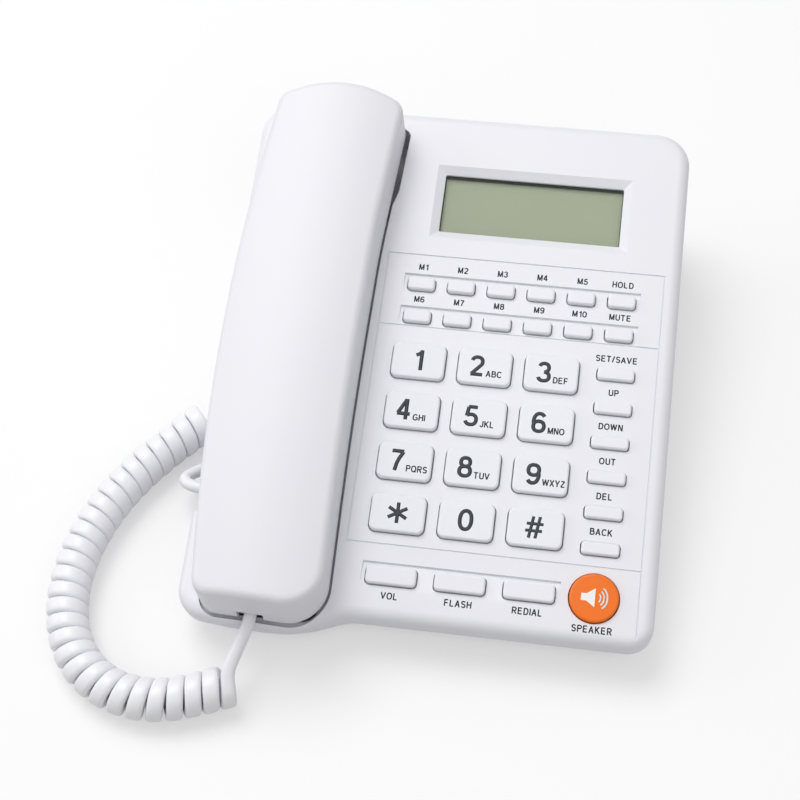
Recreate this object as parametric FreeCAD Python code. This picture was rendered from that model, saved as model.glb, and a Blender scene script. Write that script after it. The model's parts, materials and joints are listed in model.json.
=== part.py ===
"""Corded desk telephone, built piece by piece in millimetres, +Z up, resting on z = 0."""

import FreeCAD
import Part
import math
import os

V = FreeCAD.Vector
X_AXIS = V(1, 0, 0)
Y_AXIS = V(0, 1, 0)
Z_AXIS = V(0, 0, 1)

# The deck is the sloped plane that carries the keys. Deck sizes are measured on it from the centre
# of key 5: x to the right, v up the slope and w square to it.
deck_tilt = 12.0
deck_y = -19.1
deck_z = 35.0
key5_x = 14.0

# Base outline: side, rear and front walls, and the step in the front edge beside the cradle.
base_half_width = 77.8
base_rear_y = 95.5
base_front_v = -72.3
cradle_side_v = -77.0
cradle_front_v = -79.4
cradle_front_x = -54.0
cradle_front_round = 150.0
front_step_left_x = -38.0
front_step_left_v = -78.9
front_step_right_x = -22.0
front_step_round = 25.0
front_left_round = 10.0
front_right_round = 8.5
rear_round = 12.0
edge_round = 4.0
wall = 2.4
foot_height = 2.6
foot_recess = 0.6
split_z = 11.0
undercut = 5.0
floor_thickness = 2.4

# Gaps between pieces that move or slide on each other, and between fixed neighbours.
run_gap = 0.3
fit_gap = 0.1

# Handset, lying along the deck on the left. Its plan is given by corners measured sideways from
# the middle of its cups: the left side is bowed, the right side is drawn in and flares at the ear.
handset_x = -49.0
handset_end_half_width = 20.8
handset_left_u = -19.7
handset_left_bow_u = -29.7
handset_left_bow_radius = 730.0
handset_right_u = 21.6
handset_waist = (20.3, -5.0)
handset_waist_radius = 1800.0
handset_flare = (21.35, 58.0)
handset_flare_radius = 400.0
handset_ear_u = 24.8
handset_ear_apex_u = 2.5
handset_ear_arch_radius = 45.0
handset_front_v = -77.1
handset_front_skew = 0.6
handset_rear_v = 114.2
handset_rear_bulge = 5.3
handset_front_left_round = 6.0
handset_front_right_round = 13.0
handset_rear_round = 6.0
handset_front_lean = 0.09
handset_top_w = 22.4
handset_widest_v = 20.0
handset_arch_radius = 4000.0
handset_crown_radius = 90.0
handset_edge_round = 3.0
handset_wall = 2.2
handset_under_w = -1.0
handset_seam_w = 5.0
cup_side_margin = 3.6
cup_half_width = handset_end_half_width - cup_side_margin
cup_round = 6.0
ear_cup_v = (74.0, 106.0)
mouth_cup_rear_v = -41.0
ear_cup_w = -14.0
mouth_cup_w = -10.0
cup_floor = 2.0
sound_hole_r = 1.1

# Cradle: the trough that the handset lies in and the wells for its two cups.
cradle_gap = 0.7
trough_w = -4.0
tub_wall = 2.2
well_gap = 1.3
well_round = 6.0

# Finger recess beside the ear end: from the handset's side it widens along a slanted edge.
recess_start = (-27.6, 71.0)
recess_bend = (-24.0, 83.0)
recess_end = (-22.6, 108.6)
recess_bend_round = 12.0
recess_end_round = 3.0

# Keys: cap sizes along x and v, places on the deck and travel.
key_travel = 1.5
key_gap = 0.4
flange_reach = 1.0
flange_thickness = 1.0
key_edge_round = 0.7
dial_pitch_x = 22.7
dial_pitch_v = 18.25
dial_cap = (18.2, 12.8)
dial_cap_height = 2.0
dial_round = 2.2
function_pitch = 13.9
function_first_u = -25.4
function_rows_v = (47.5, 35.1)
function_cap = (9.4, 4.9)
function_round = 1.3
side_u = 44.3
side_first_v = 20.25
side_pitch = 12.26
side_cap = (12.4, 4.2)
side_round = 1.1
lower_first_u = -22.2
lower_pitch = 22.5
lower_v = -57.7
lower_cap = (16.6, 6.0)
lower_round = 1.4
small_cap_height = 1.7
speaker_key_u = 43.7
speaker_key_v = -57.5
speaker_key_r = 8.0
speaker_key_height = 1.3
relief_depth = 0.9
relief_margin = 1.6

# Display frame in the deck, window and panel.
display_u = (-22.2, 41.5)
display_v = (69.4, 92.3)
frame_bevel = 3.0
frame_depth = 1.6
window_thickness = 1.4
window_lap = 2.2
panel_thickness = 2.4

# Decor grooves on the deck.
groove_width = 0.5
groove_depth = 0.4
groove_left_u = -38.4
groove_right_u = 58.1
groove_v = (58.9, 31.5, -47.0)

# Board, mat and their posts under the deck.
mat_top_w = -6.3
mat_sheet = 1.0
dome_height = 0.9
dome_r = 2.5
board_thickness = 1.6
board_x = (-18.8, 66.0)
board_v = (-65.0, 98.0)
post_r = 3.0
board_post_places = ((-15.0, 63.0), (61.0, 63.0), (-15.0, -48.6), (47.0, -48.6))

# Hook plunger, its spring and the switch board below it.
hook_v = 56.0
hook_size = (9.0, 6.0)
hook_travel = 4.5
hook_flange = 1.2
hook_board_w = -21.0
hook_board_size = (26.0, 20.0)
spring_r = 3.6
spring_wire_r = 0.4
spring_turns = 5

# Underside: battery bay with its sliding door, loudspeaker, feet, screws and wall slots.
battery_x = (-14.0, 22.0)
battery_y = (28.0, 76.0)
cell_r = 5.25
cell_length = 44.5
cell_count = 3
door_thickness = 1.8
door_slide = 5.0
door_tongue = 1.5
tongue_low = 0.8
bay_wall = 1.8
speaker_place = (47.0, 42.0)
speaker_r = 20.0
speaker_depth = 15.0
grille_slots = 5
grille_pitch = 5.0
grille_slot = (22.0, 2.0)
foot_r = 6.5
foot_x = base_half_width - 17.8
foot_places = ((-foot_x, -66.0), (foot_x, -66.0), (-foot_x, 84.0), (foot_x, 84.0))
screw_left_x = -(base_half_width - 9.8)
screw_right_x = base_half_width - 7.8
screw_places = ((screw_left_x, -12.0), (screw_left_x, 66.0), (screw_right_x, -60.0),
                (screw_right_x, 74.0))
screw_r = 1.45
screw_post_r = 3.5
screw_head_r = 2.8
screw_head = 2.4
screw_joint_z = 8.0
screw_length = 14.0
wall_slot_x = -36.0
wall_slot_spacing = 85.7
wall_slot_r = 2.25
wall_slot_length = 12.0
wall_entry_r = 4.75

# Jacks and plugs. A handset plug is narrower than a line plug.
handset_plug = (7.7, 6.0, 12.0)
jack_wall = 1.6
jack_depth = 12.5
base_jack_y = -45.2
base_jack_z = 13.0
plug_out = 4.0
bay_x = -(base_half_width - 11.8)
bay_y = (-51.2, -31.0)
rim_notch_x = -(base_half_width - 3.4)
rim_notch_y = (-60.4, -31.0)
handset_jack_x = -51.5
handset_jack_w = 2.6
notch_width = 8.8
notch_w = (-2.2, 5.7)
notch_depth = 3.2
mouth_cup_v = (handset_front_v + notch_depth, mouth_cup_rear_v)
line_jack_x = 40.0
line_jack_z = 17.0
line_socket = (9.7, 6.8)
line_jack_depth = 14.0

# Cord: lead and coil wire, coil diameter, turns and the routes of its free stretches.
cord_d = 4.2
coil_outer_d = 14.2
coil_turns = 28
coil_start_angle = 60.0
coil_lift = 0.1
coil_axis = (
    (-56.8, -113.2), (-71.2, -119.8), (-84.6, -121.7), (-96.5, -119.0), (-106.5, -112.2),
    (-113.6, -101.6), (-117.2, -88.4), (-117.3, -73.6), (-114.2, -58.8), (-108.5, -45.2),
    (-101.2, -33.3), (-93.2, -23.2), (-85.4, -14.4),
)


def wire_outline(corners, radii):
    """Closed wire through the corners, each one rounded by its own radius."""
    ends = []
    count = len(corners)
    for i in range(count):
        corner = V(corners[i][0], corners[i][1], 0)
        before = V(corners[i - 1][0], corners[i - 1][1], 0) - corner
        after = V(corners[(i + 1) % count][0], corners[(i + 1) % count][1], 0) - corner
        before.normalize()
        after.normalize()
        half = before.getAngle(after) / 2
        if radii[i] <= 0:
            ends.append((corner, None, corner))
            continue
        reach = radii[i] / math.tan(half)
        inward = before + after
        inward.normalize()
        middle = corner + inward * (radii[i] / math.sin(half) - radii[i])
        ends.append((corner + before * reach, middle, corner + after * reach))
    edges = []
    for i in range(count):
        start, middle, end = ends[i]
        if middle is not None:
            edges.append(Part.Arc(start, middle, end).toShape())
        following = ends[(i + 1) % count][0]
        if end.distanceToPoint(following) > 1e-6:
            edges.append(Part.LineSegment(end, following).toShape())
    return Part.Wire(edges)


def grow(wire, amount):
    """The outline moved outwards by the amount, or inwards when it is negative."""
    if amount == 0:
        return wire
    return wire.makeOffset2D(amount)


def prism(wire, low, high):
    """Solid with the outline as its section, from one height to another."""
    face = Part.Face(wire)
    face.translate(V(0, 0, low))
    return face.extrude(V(0, 0, high - low))


def rounded_box(centre, size, radius, low, high):
    """Upright block with rounded corners about a centre."""
    half_x = size[0] / 2
    half_y = size[1] / 2
    corners = (
        (centre[0] - half_x, centre[1] - half_y),
        (centre[0] + half_x, centre[1] - half_y),
        (centre[0] + half_x, centre[1] + half_y),
        (centre[0] - half_x, centre[1] + half_y),
    )
    return prism(wire_outline(corners, [radius] * 4), low, high)


def block(x_range, y_range, z_range):
    """Plain block between three pairs of limits."""
    size = (x_range[1] - x_range[0], y_range[1] - y_range[0], z_range[1] - z_range[0])
    return Part.makeBox(size[0], size[1], size[2], V(x_range[0], y_range[0], z_range[0]))


def rod(centre, radius, low, high):
    """Upright round rod."""
    return Part.makeCylinder(radius, high - low, V(centre[0], centre[1], low), Z_AXIS)


def side_profile(points, x_low, x_high):
    """Solid with a section drawn in the plane of v and w, running along x."""
    corners = [V(x_low, p[0], p[1]) for p in points]
    face = Part.Face(Part.makePolygon(corners + [corners[0]]))
    return face.extrude(V(x_high - x_low, 0, 0))


def on_deck(shape):
    """The shape modelled on a level deck, set at the real slope and height."""
    placed = shape.copy()
    placed.rotate(V(0, 0, 0), X_AXIS, deck_tilt)
    placed.translate(V(0, deck_y, deck_z))
    return placed


def deck_point(x, v, w):
    """Deck coordinates turned into a point of the part."""
    tilt = math.radians(deck_tilt)
    y = deck_y + v * math.cos(tilt) - w * math.sin(tilt)
    z = deck_z + v * math.sin(tilt) + w * math.cos(tilt)
    return V(x, y, z)


def deck_height(point):
    """Height of a point above the deck plane, square to it."""
    tilt = math.radians(deck_tilt)
    return (point.z - deck_z) * math.cos(tilt) - (point.y - deck_y) * math.sin(tilt)


def edge_points(edge):
    """Start, middle and end of an edge."""
    first = edge.FirstParameter
    last = edge.LastParameter
    return [edge.valueAt(first), edge.valueAt((first + last) / 2), edge.valueAt(last)]


def round_edges(shape, radius, chosen):
    """The shape with every edge that the test chooses rounded."""
    edges = [e for e in shape.Edges if chosen(edge_points(e))]
    return shape.makeFillet(radius, edges)


def all_level(points, height, measure):
    """Whether every point lies at one height."""
    return all(abs(measure(p) - height) < 1e-3 for p in points)


def save(name, shape):
    """Check a piece and write it to its own file."""
    if not shape.isValid() or shape.Volume <= 0:
        raise ValueError(name + " is not a sound solid")
    shape.exportStep("parts/" + name + ".step")


def front_outline():
    """Plan of the front and sides, on the deck."""
    far = 160.0
    corners = (
        (-base_half_width, far),
        (-base_half_width, cradle_side_v),
        (cradle_front_x, cradle_front_v),
        (front_step_left_x, front_step_left_v),
        (front_step_right_x, base_front_v),
        (base_half_width, base_front_v),
        (base_half_width, far),
    )
    radii = (0, front_left_round, cradle_front_round, front_step_round, front_step_round,
             front_right_round, 0)
    return wire_outline(corners, radii)


def rear_outline():
    """Plan of the rear wall and sides, upright."""
    far = -160.0
    corners = (
        (-base_half_width, far),
        (base_half_width, far),
        (base_half_width, base_rear_y),
        (-base_half_width, base_rear_y),
    )
    return wire_outline(corners, (0, 0, rear_round, rear_round))


def base_block(inset):
    """Solid block of the base above its seam, moved inwards by a wall when inset."""
    front = on_deck(prism(grow(front_outline(), -inset), -140.0, -inset))
    rear = prism(grow(rear_outline(), -inset), 0.0, 140.0)
    body = front.common(rear).removeSplitter()
    low = block((-200, 200), (-200, 200), (-100, split_z))
    return body.cut(low)


def rounded_base(inset):
    """Base block with its deck edge rounded."""
    body = base_block(inset)
    return round_edges(body, edge_round - inset, lambda p: all_level(p, -inset, deck_height))


def seam_wire(inset):
    """Outline of the base at its seam, moved inwards by a wall when inset."""
    faces = [f for f in base_block(inset).Faces if all_level(
        [v.Point for v in f.Vertexes], split_z, lambda p: p.z)]
    return faces[0].OuterWire


def tray(inset, low):
    """Solid of the tapered lower body from a height up to the seam."""
    rise = (split_z - low) / (split_z - base_bottom_z())
    top = seam_wire(inset)
    box = top.BoundBox
    centre = V(box.Center.x, box.Center.y, split_z)
    shrink = FreeCAD.Matrix()
    shrink.scale(V(1 - 2 * undercut * rise / box.XLength, 1 - 2 * undercut * rise / box.YLength, 1))
    bottom = top.copy()
    bottom.translate(centre * -1)
    bottom = bottom.transformGeometry(shrink)
    bottom.translate(centre - Z_AXIS * (split_z - low))
    return Part.makeLoft([bottom, top], True, True)


def handset_outline(lean):
    """Plan of the handset, with its front end drawn back by the lean along both sides."""
    rear_side_v = handset_rear_v - handset_rear_bulge
    bow_v = (handset_front_v + rear_side_v) / 2
    left_v = handset_front_v + handset_front_skew
    right_v = handset_front_v - handset_front_skew
    left_slope = (handset_left_bow_u - handset_left_u) / (bow_v - left_v)
    right_slope = (handset_waist[0] - handset_right_u) / (handset_waist[1] - right_v)
    bends = (
        (handset_left_u + left_slope * lean, left_v + lean, handset_front_left_round),
        (handset_right_u + right_slope * lean, right_v + lean, handset_front_right_round),
        (handset_waist[0], handset_waist[1], handset_waist_radius),
        (handset_flare[0], handset_flare[1], handset_flare_radius),
        (handset_ear_u, rear_side_v, handset_rear_round),
        (handset_ear_apex_u, ear_apex_v(rear_side_v), handset_ear_arch_radius),
        (handset_left_u, rear_side_v, handset_rear_round),
        (handset_left_bow_u, bow_v, handset_left_bow_radius),
    )
    return wire_outline([(handset_x + u, v) for u, v, r in bends], [r for u, v, r in bends])


def ear_apex_v(side_v):
    """Where the tangents at the two ends of the arched ear end meet."""
    half = (handset_ear_u - handset_left_u) / 2
    radius = handset_ear_arch_radius
    below = radius - (handset_rear_v - side_v)
    square = radius ** 2 - half ** 2
    root = math.sqrt((half * below) ** 2 - square * (radius ** 2 - below ** 2))
    return side_v + half * (half * below - root) / square


def space_above(inset):
    """Everything above the handset's back, which is slightly arched and crowned across."""
    centre = V(handset_x, handset_widest_v, handset_top_w - handset_arch_radius)
    reach = 30.0
    arch = handset_arch_radius - inset
    sweep = math.asin(110.0 / arch)
    ends = [centre + V(0, math.sin(a), math.cos(a)) * arch for a in (sweep, -sweep)]
    path = Part.Wire([Part.Arc(ends[0], centre + Z_AXIS * arch, ends[1]).toShape()])
    radius = handset_crown_radius - inset
    drop = radius - math.sqrt(radius ** 2 - reach ** 2)
    down = V(0, -math.sin(sweep), -math.cos(sweep)) * drop
    left = ends[0] + down - X_AXIS * reach
    right = ends[0] + down + X_AXIS * reach
    crown = Part.Wire([Part.Arc(left, ends[0], right).toShape()])
    return path.makePipeShell([crown], False, False).extrude(Z_AXIS * 90.0)


def handset_block(inset):
    """Whole grip of the handset, rounded along its upper edge."""
    level = handset_under_w + inset
    high = 40.0
    ends = []
    for height in (level, high):
        lean = handset_front_lean * (height - handset_under_w)
        section = grow(handset_outline(lean), -inset)
        section.translate(Z_AXIS * height)
        ends.append(section)
    body = Part.makeLoft(ends, True, True).cut(space_above(inset))
    half_way = handset_top_w / 2
    return round_edges(body, handset_edge_round - inset,
                       lambda points: all(p.z > half_way for p in points))


def cup(v_range, low, inset):
    """One of the two cups below the handset's grip."""
    size = (2 * cup_half_width - 2 * inset, v_range[1] - v_range[0] - 2 * inset)
    centre = (handset_x, (v_range[0] + v_range[1]) / 2)
    body = rounded_box(centre, size, cup_round - inset, low + inset, handset_seam_w - 1.0)
    if inset > 0:
        return body
    return round_edges(body, cup_floor, lambda p: all_level(p, low, lambda q: q.z))


def notch():
    """Opening for the cord in the mouthpiece end."""
    side = notch_width / 2
    front = (handset_front_v - 5, handset_front_v + notch_depth)
    return block((handset_jack_x - side, handset_jack_x + side), front, notch_w)


def screw_post_places():
    """Deck places of the two handset screws, at the two ends of the grip."""
    return ((handset_x, mouth_cup_v[1] + 8.0), (handset_x, ear_cup_v[0] - 8.0))


def handset_outer_shell():
    """Back half of the handset with its two screw posts."""
    whole = handset_block(0)
    shell = whole.cut(handset_block(handset_wall))
    for place in screw_post_places():
        post = rod(place, 3.2, handset_under_w + handset_wall + fit_gap, 40.0).common(whole)
        shell = shell.fuse(post).cut(rod(place, 1.35, -5.0, 14.0))
    low = block((-150, 50), (-150, 150), (-60, handset_seam_w))
    return shell.cut(low).cut(notch()).cut(jack_block(0.05)).removeSplitter()


def handset_inner_shell():
    """Grip half of the handset with the ear and mouth cups."""
    grip = handset_block(0).cut(block((-150, 50), (-150, 150), (handset_seam_w, 60)))
    grip = round_edges(grip, 2.0, lambda p: all_level(p, handset_under_w, lambda q: q.z))
    hollow = handset_block(handset_wall)
    for v_range, low in ((ear_cup_v, ear_cup_w), (mouth_cup_v, mouth_cup_w)):
        grip = grip.fuse(cup(v_range, low, 0))
        hollow = hollow.fuse(cup(v_range, low, cup_floor))
    shell = grip.removeSplitter().cut(hollow.removeSplitter())
    for place in sound_holes():
        shell = shell.cut(rod(place, sound_hole_r, -20.0, handset_under_w - 2))
    for place in screw_post_places():
        ring = rod(place, 4.6, handset_under_w, handset_under_w + handset_wall)
        shell = shell.fuse(ring).cut(rod(place, 1.5, -5.0, 10.0))
        shell = shell.cut(rod(place, screw_head_r, -5.0, handset_under_w + 1.0))
    return shell.cut(notch()).cut(jack_block(0.05))


def sound_holes():
    """Places of the holes in the ear cup and the mouth cup."""
    ear = (ear_cup_v[0] + ear_cup_v[1]) / 2
    mouth = (mouth_cup_v[0] + mouth_cup_v[1]) / 2
    places = [(handset_x, ear)]
    for i in range(6):
        angle = math.radians(60 * i)
        places.append((handset_x + 6 * math.cos(angle), ear + 6 * math.sin(angle)))
    for i in (-1, 0, 1):
        places.append((handset_x + 5 * i, mouth))
    return places


def jack_block(margin):
    """Outside of the handset's own jack."""
    half = handset_plug[0] / 2 + jack_wall + margin
    low = handset_jack_w - handset_plug[1] / 2 - jack_wall - margin
    high = handset_jack_w + handset_plug[1] / 2 + jack_wall + margin
    front = handset_front_v + notch_depth - margin
    back = front + jack_depth + jack_wall + 2 * margin
    return block((handset_jack_x - half, handset_jack_x + half), (front, back), (low, high))


def plug_block(centre, size, margin):
    """Plug body about a centre, longest along its second size."""
    half = (size[0] / 2 + margin, size[1] / 2 + margin, size[2] / 2 + margin)
    return block(*[(centre[i] - half[i], centre[i] + half[i]) for i in range(3)])


def handset_jack():
    """Socket inside the mouthpiece end."""
    front = handset_front_v + notch_depth
    cavity = plug_block((handset_jack_x, front + jack_depth / 2, handset_jack_w),
                        (handset_plug[0], jack_depth, handset_plug[1]), fit_gap)
    return jack_block(0).cut(cavity)


def plug_handset():
    """Plug on the handset end of the cord, seated in the handset's jack."""
    front = handset_front_v + notch_depth - 1.0
    centre = (handset_jack_x, front + handset_plug[2] / 2, handset_jack_w)
    body = plug_block(centre, (handset_plug[0], handset_plug[2], handset_plug[1]), 0)
    latch = block((handset_jack_x - 1.6, handset_jack_x + 1.6), (front + 2, front + 9),
                  (handset_jack_w - handset_plug[1] / 2 - 0.05, handset_jack_w))
    return body.fuse(latch).removeSplitter()


def earpiece_capsule():
    """Receiver capsule on the floor of the ear cup."""
    place = (handset_x, (ear_cup_v[0] + ear_cup_v[1]) / 2)
    low = ear_cup_w + cup_floor + fit_gap
    body = rod(place, 14.0, low, low + 4.0).fuse(rod(place, 11.0, low + 4.0, low + 7.5))
    return body.cut(rod(place, 4.0, low + 6.5, low + 8.0)).removeSplitter()


def microphone_capsule():
    """Microphone in its rubber boot on the floor of the mouth cup."""
    place = (handset_x, (mouth_cup_v[0] + mouth_cup_v[1]) / 2)
    low = mouth_cup_w + cup_floor + fit_gap
    capsule = rod(place, 4.8, low, low + 5.0)
    boot = rod(place, 7.5, low, low + 4.0).cut(rod(place, 4.8, low - 1, low + 5.0))
    return Part.makeCompound([capsule, boot])


def handset_screws():
    """The two screws that hold the handset's shells together."""
    seat = handset_under_w + 1.0
    screws = []
    for place in screw_post_places():
        screws.append(screw(place, seat, 1.3, 2.5, 1.2, 11.0))
    return Part.makeCompound(screws)


def screw(place, seat, shank_r, head_r, head, length):
    """Cross-headed screw pointing up, with the upper side of its head at the seat."""
    body = rod(place, head_r, seat - head, seat).fuse(rod(place, shank_r, seat, seat + length))
    slot = head_r * 0.7
    for size in ((slot, 0.4), (0.4, slot)):
        cross = block((place[0] - size[0], place[0] + size[0]),
                      (place[1] - size[1], place[1] + size[1]), (seat - head - 1, seat - head / 2))
        body = body.cut(cross)
    return body.removeSplitter()


def mouth_well_outline(amount):
    """Plan of the mouth cup's well, grown by an amount."""
    reach = cup_half_width + well_gap
    low_v = mouth_cup_v[0] - well_gap
    high_v = mouth_cup_v[1] + well_gap
    corners = ((handset_x - reach, low_v), (handset_x + reach, low_v),
               (handset_x + reach, high_v), (handset_x - reach, high_v))
    return grow(wire_outline(corners, [well_round] * 4), amount)


def ear_well_outline(amount):
    """Plan of the ear cup's well with the finger recess beside it, grown by an amount."""
    left = handset_x - cup_half_width - well_gap
    corners = ((left, recess_start[1]), recess_start, recess_bend, recess_end,
               (left, recess_end[1]))
    radii = (well_round, 2.0, recess_bend_round, recess_end_round, well_round)
    return grow(wire_outline(corners, radii), amount)


def cradle_space(amount):
    """Hollow that takes the handset, or with an amount the tub that surrounds it."""
    ear_w = ear_cup_w - run_gap
    mouth_w = mouth_cup_w - run_gap
    trough = prism(grow(handset_outline(0), cradle_gap + amount), trough_w - amount, 30.0)
    ear = prism(ear_well_outline(amount), ear_w - amount, 30.0)
    mouth = prism(mouth_well_outline(amount), mouth_w - amount, 30.0)
    return on_deck(trough.fuse(ear).fuse(mouth).removeSplitter())


def bay_space(amount):
    """Side bay that takes the cord plug, or with an amount the walls around it."""
    ceiling = trough_w - tub_wall + amount
    under_cradle = on_deck(block((-200, 0), (-200, 200), (-200, ceiling)))
    low = base_bottom_z() + floor_thickness - amount
    deep = block((-100, bay_x + amount), (bay_y[0] - amount, bay_y[1] + amount), (low, 60))
    rim = block((-100, rim_notch_x + amount), (rim_notch_y[0] - amount, rim_notch_y[1] + amount),
                (low, 60))
    return deep.common(under_cradle).fuse(rim).removeSplitter()


def key_places():
    """Every key's name, deck centre, cap size, corner radius and height."""
    places = []
    names = (("1", "2", "3"), ("4", "5", "6"), ("7", "8", "9"), ("star", "0", "hash"))
    for row, row_names in enumerate(names):
        for column, name in enumerate(row_names):
            centre = (key5_x + (column - 1) * dial_pitch_x, (1 - row) * dial_pitch_v)
            places.append(("key_" + name, centre, dial_cap, dial_round, dial_cap_height))
    for row, v in enumerate(function_rows_v):
        for column in range(6):
            centre = (key5_x + function_first_u + column * function_pitch, v)
            name = "function_key_%d" % (row * 6 + column + 1)
            places.append((name, centre, function_cap, function_round, small_cap_height))
    for i in range(6):
        centre = (key5_x + side_u, side_first_v - i * side_pitch)
        places.append(("side_key_%d" % (i + 1), centre, side_cap, side_round, small_cap_height))
    for i in range(3):
        centre = (key5_x + lower_first_u + i * lower_pitch, lower_v)
        places.append(("lower_key_%d" % (i + 1), centre, lower_cap, lower_round, small_cap_height))
    size = (2 * speaker_key_r, 2 * speaker_key_r)
    centre = (key5_x + speaker_key_u, speaker_key_v)
    places.append(("speaker_key", centre, size, speaker_key_r, speaker_key_height))
    return places


def key_body(centre, size, radius, low, high):
    """Round or rounded block for a key or its opening."""
    if radius * 2 >= min(size):
        return rod(centre, radius, low, high)
    return rounded_box(centre, size, radius, low, high)


def key(centre, size, radius, height):
    """Key cap with the flange that keeps it under the deck and the post over its dome."""
    under = -wall - run_gap
    cap = key_body(centre, size, radius, under - flange_thickness, height)
    cap = round_edges(cap, key_edge_round, lambda p: all_level(p, height, lambda q: q.z))
    wide = (size[0] + 2 * flange_reach, size[1] + 2 * flange_reach)
    flange = key_body(centre, wide, radius + flange_reach, under - flange_thickness, under)
    post = rod(centre, dome_r - 0.5, mat_top_w + key_travel + run_gap, under)
    return on_deck(cap.fuse(flange).fuse(post).removeSplitter())


def deck_reliefs():
    """Shallow sloped troughs that the small keys stand in, deepest along their far edge."""
    rows = []
    half = function_cap[1] / 2
    left = key5_x + function_first_u - function_cap[0] / 2
    right = left + 5 * function_pitch + function_cap[0]
    for v in function_rows_v:
        rows.append((left, right, v - half, v + half))
    half = lower_cap[1] / 2
    left = key5_x + lower_first_u - lower_cap[0] / 2
    right = left + 2 * lower_pitch + lower_cap[0]
    rows.append((left, right, lower_v - half, lower_v + half))
    cutters = []
    for left, right, low_v, high_v in rows:
        far_v = high_v + relief_margin
        near_v = low_v - relief_margin
        points = ((near_v, 0.2), (near_v, 0.0), (far_v, -relief_depth), (far_v, 0.2))
        cutters.append(side_profile(points, left - relief_margin, right + relief_margin))
    return cutters


def deck_grooves():
    """Thin decor lines around the key fields."""
    half = groove_width / 2
    left = key5_x + groove_left_u
    right = key5_x + groove_right_u
    depth = (-groove_depth, 1.0)
    lines = []
    for v in groove_v:
        lines.append(block((left, right + half), (v - half, v + half), depth))
    lines.append(block((left - half, left + half), (groove_v[2], groove_v[0]), depth))
    lines.append(block((right - half, right + half), (base_front_v - 2, groove_v[0]), depth))
    return lines


def display_opening():
    """Bevelled frame and opening over the display."""
    left = key5_x + display_u[0]
    right = key5_x + display_u[1]
    centre = ((left + right) / 2, (display_v[0] + display_v[1]) / 2)
    size = (right - left, display_v[1] - display_v[0])
    outer = (size[0] + 2 * frame_bevel, size[1] + 2 * frame_bevel)
    top = rectangle(centre, outer, 0.0)
    low = rectangle(centre, size, -frame_depth)
    frame = Part.makeLoft([low, top], True, True)
    return frame.fuse(rounded_box(centre, size, 0.6, -wall - 1, -frame_depth + 0.1))


def rectangle(centre, size, height):
    """Plain rectangle at a height."""
    half_x = size[0] / 2
    half_y = size[1] / 2
    corners = ((-half_x, -half_y), (half_x, -half_y), (half_x, half_y), (-half_x, half_y))
    points = [V(centre[0] + c[0], centre[1] + c[1], height) for c in corners]
    return Part.makePolygon(points + [points[0]])


def window_plate(margin, low, high):
    """Plate behind the display opening, wider than it by a margin."""
    x_range = (key5_x + display_u[0] - margin, key5_x + display_u[1] + margin)
    v_range = (display_v[0] - margin, display_v[1] + margin)
    return block(x_range, v_range, (low, high))


def display_window():
    """Clear window under the display frame."""
    return on_deck(window_plate(window_lap, -wall - window_thickness, -wall))


def display_panel():
    """Display panel just under the window."""
    top = -wall - window_thickness - fit_gap
    return on_deck(window_plate(window_lap + 1.0, top - panel_thickness, top))


def board_top_w():
    """Upper face of the circuit board."""
    return mat_top_w - dome_height - mat_sheet


def hook_opening(amount, low, high):
    """Section of the hook plunger's button between two heights."""
    centre = (handset_x, hook_v)
    size = (hook_size[0] + 2 * amount, hook_size[1] + 2 * amount)
    return rounded_box(centre, size, 1.5 + amount, low, high)


def hook_flange_w():
    """Upper face of the plunger's flange while the handset holds it down."""
    return trough_w - tub_wall - run_gap - hook_travel


def top_housing():
    """Upper casing with deck, cradle, side bay walls, posts and openings."""
    outer = rounded_base(0)
    shell = outer.cut(rounded_base(wall))
    shell = shell.fuse(cradle_space(tub_wall).common(outer))
    above_seam = block((-200, 200), (-200, 200), (split_z, 200))
    shell = shell.fuse(bay_space(wall).common(outer).common(above_seam))
    for place in board_post_places:
        shell = shell.fuse(on_deck(rod(place, post_r, board_top_w(), -wall + 0.5)))
    for place in hook_post_places():
        shell = shell.fuse(on_deck(rod(place, 2.5, hook_board_w, trough_w - tub_wall + 0.5)))
    for place in screw_places:
        post = rod(place, screw_post_r, screw_joint_z, 80.0).common(screw_post_limit())
        shell = shell.fuse(post)
    shell = shell.cut(cradle_space(0)).cut(bay_space(0))
    cutters = deck_reliefs() + deck_grooves() + [display_opening()]
    for name, centre, size, radius, height in key_places():
        wide = (size[0] + 2 * key_gap, size[1] + 2 * key_gap)
        cutters.append(key_body(centre, wide, radius + key_gap, -wall - 1, 1.0))
    cutters.append(hook_opening(run_gap, trough_w - tub_wall - 1, trough_w + 1))
    shell = shell.cut([on_deck(c) for c in cutters])
    for place in screw_places:
        shell = shell.cut(rod(place, screw_r, 0.0, screw_joint_z + screw_length))
    return shell.cut(line_jack_body(fit_gap)).cut(base_jack_body(fit_gap)).removeSplitter()


def screw_post_limit():
    """Space below the deck's and the cradle's underside, where screw posts may stand."""
    return rounded_base(wall - 0.5).cut(cradle_space(tub_wall - 0.5)).fuse(
        block((-100, 100), (-100, 110), (screw_joint_z, split_z)))


def hook_post_places():
    """Places of the two posts that carry the hook switch board."""
    reach = hook_board_size[0] / 2 - 3.5
    return ((handset_x - reach, hook_v), (handset_x + reach, hook_v))


def battery_block(amount, low, high):
    """Battery bay between two heights, grown by an amount."""
    x_range = (battery_x[0] - amount, battery_x[1] + amount)
    y_range = (battery_y[0] - amount, battery_y[1] + amount)
    return block(x_range, y_range, (low, high))


def battery_top_z():
    """Ceiling of the battery bay."""
    return base_bottom_z() + door_thickness + run_gap + 2 * cell_r + run_gap


def base_bottom_z():
    """Underside of the base."""
    return foot_height - foot_recess


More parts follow.
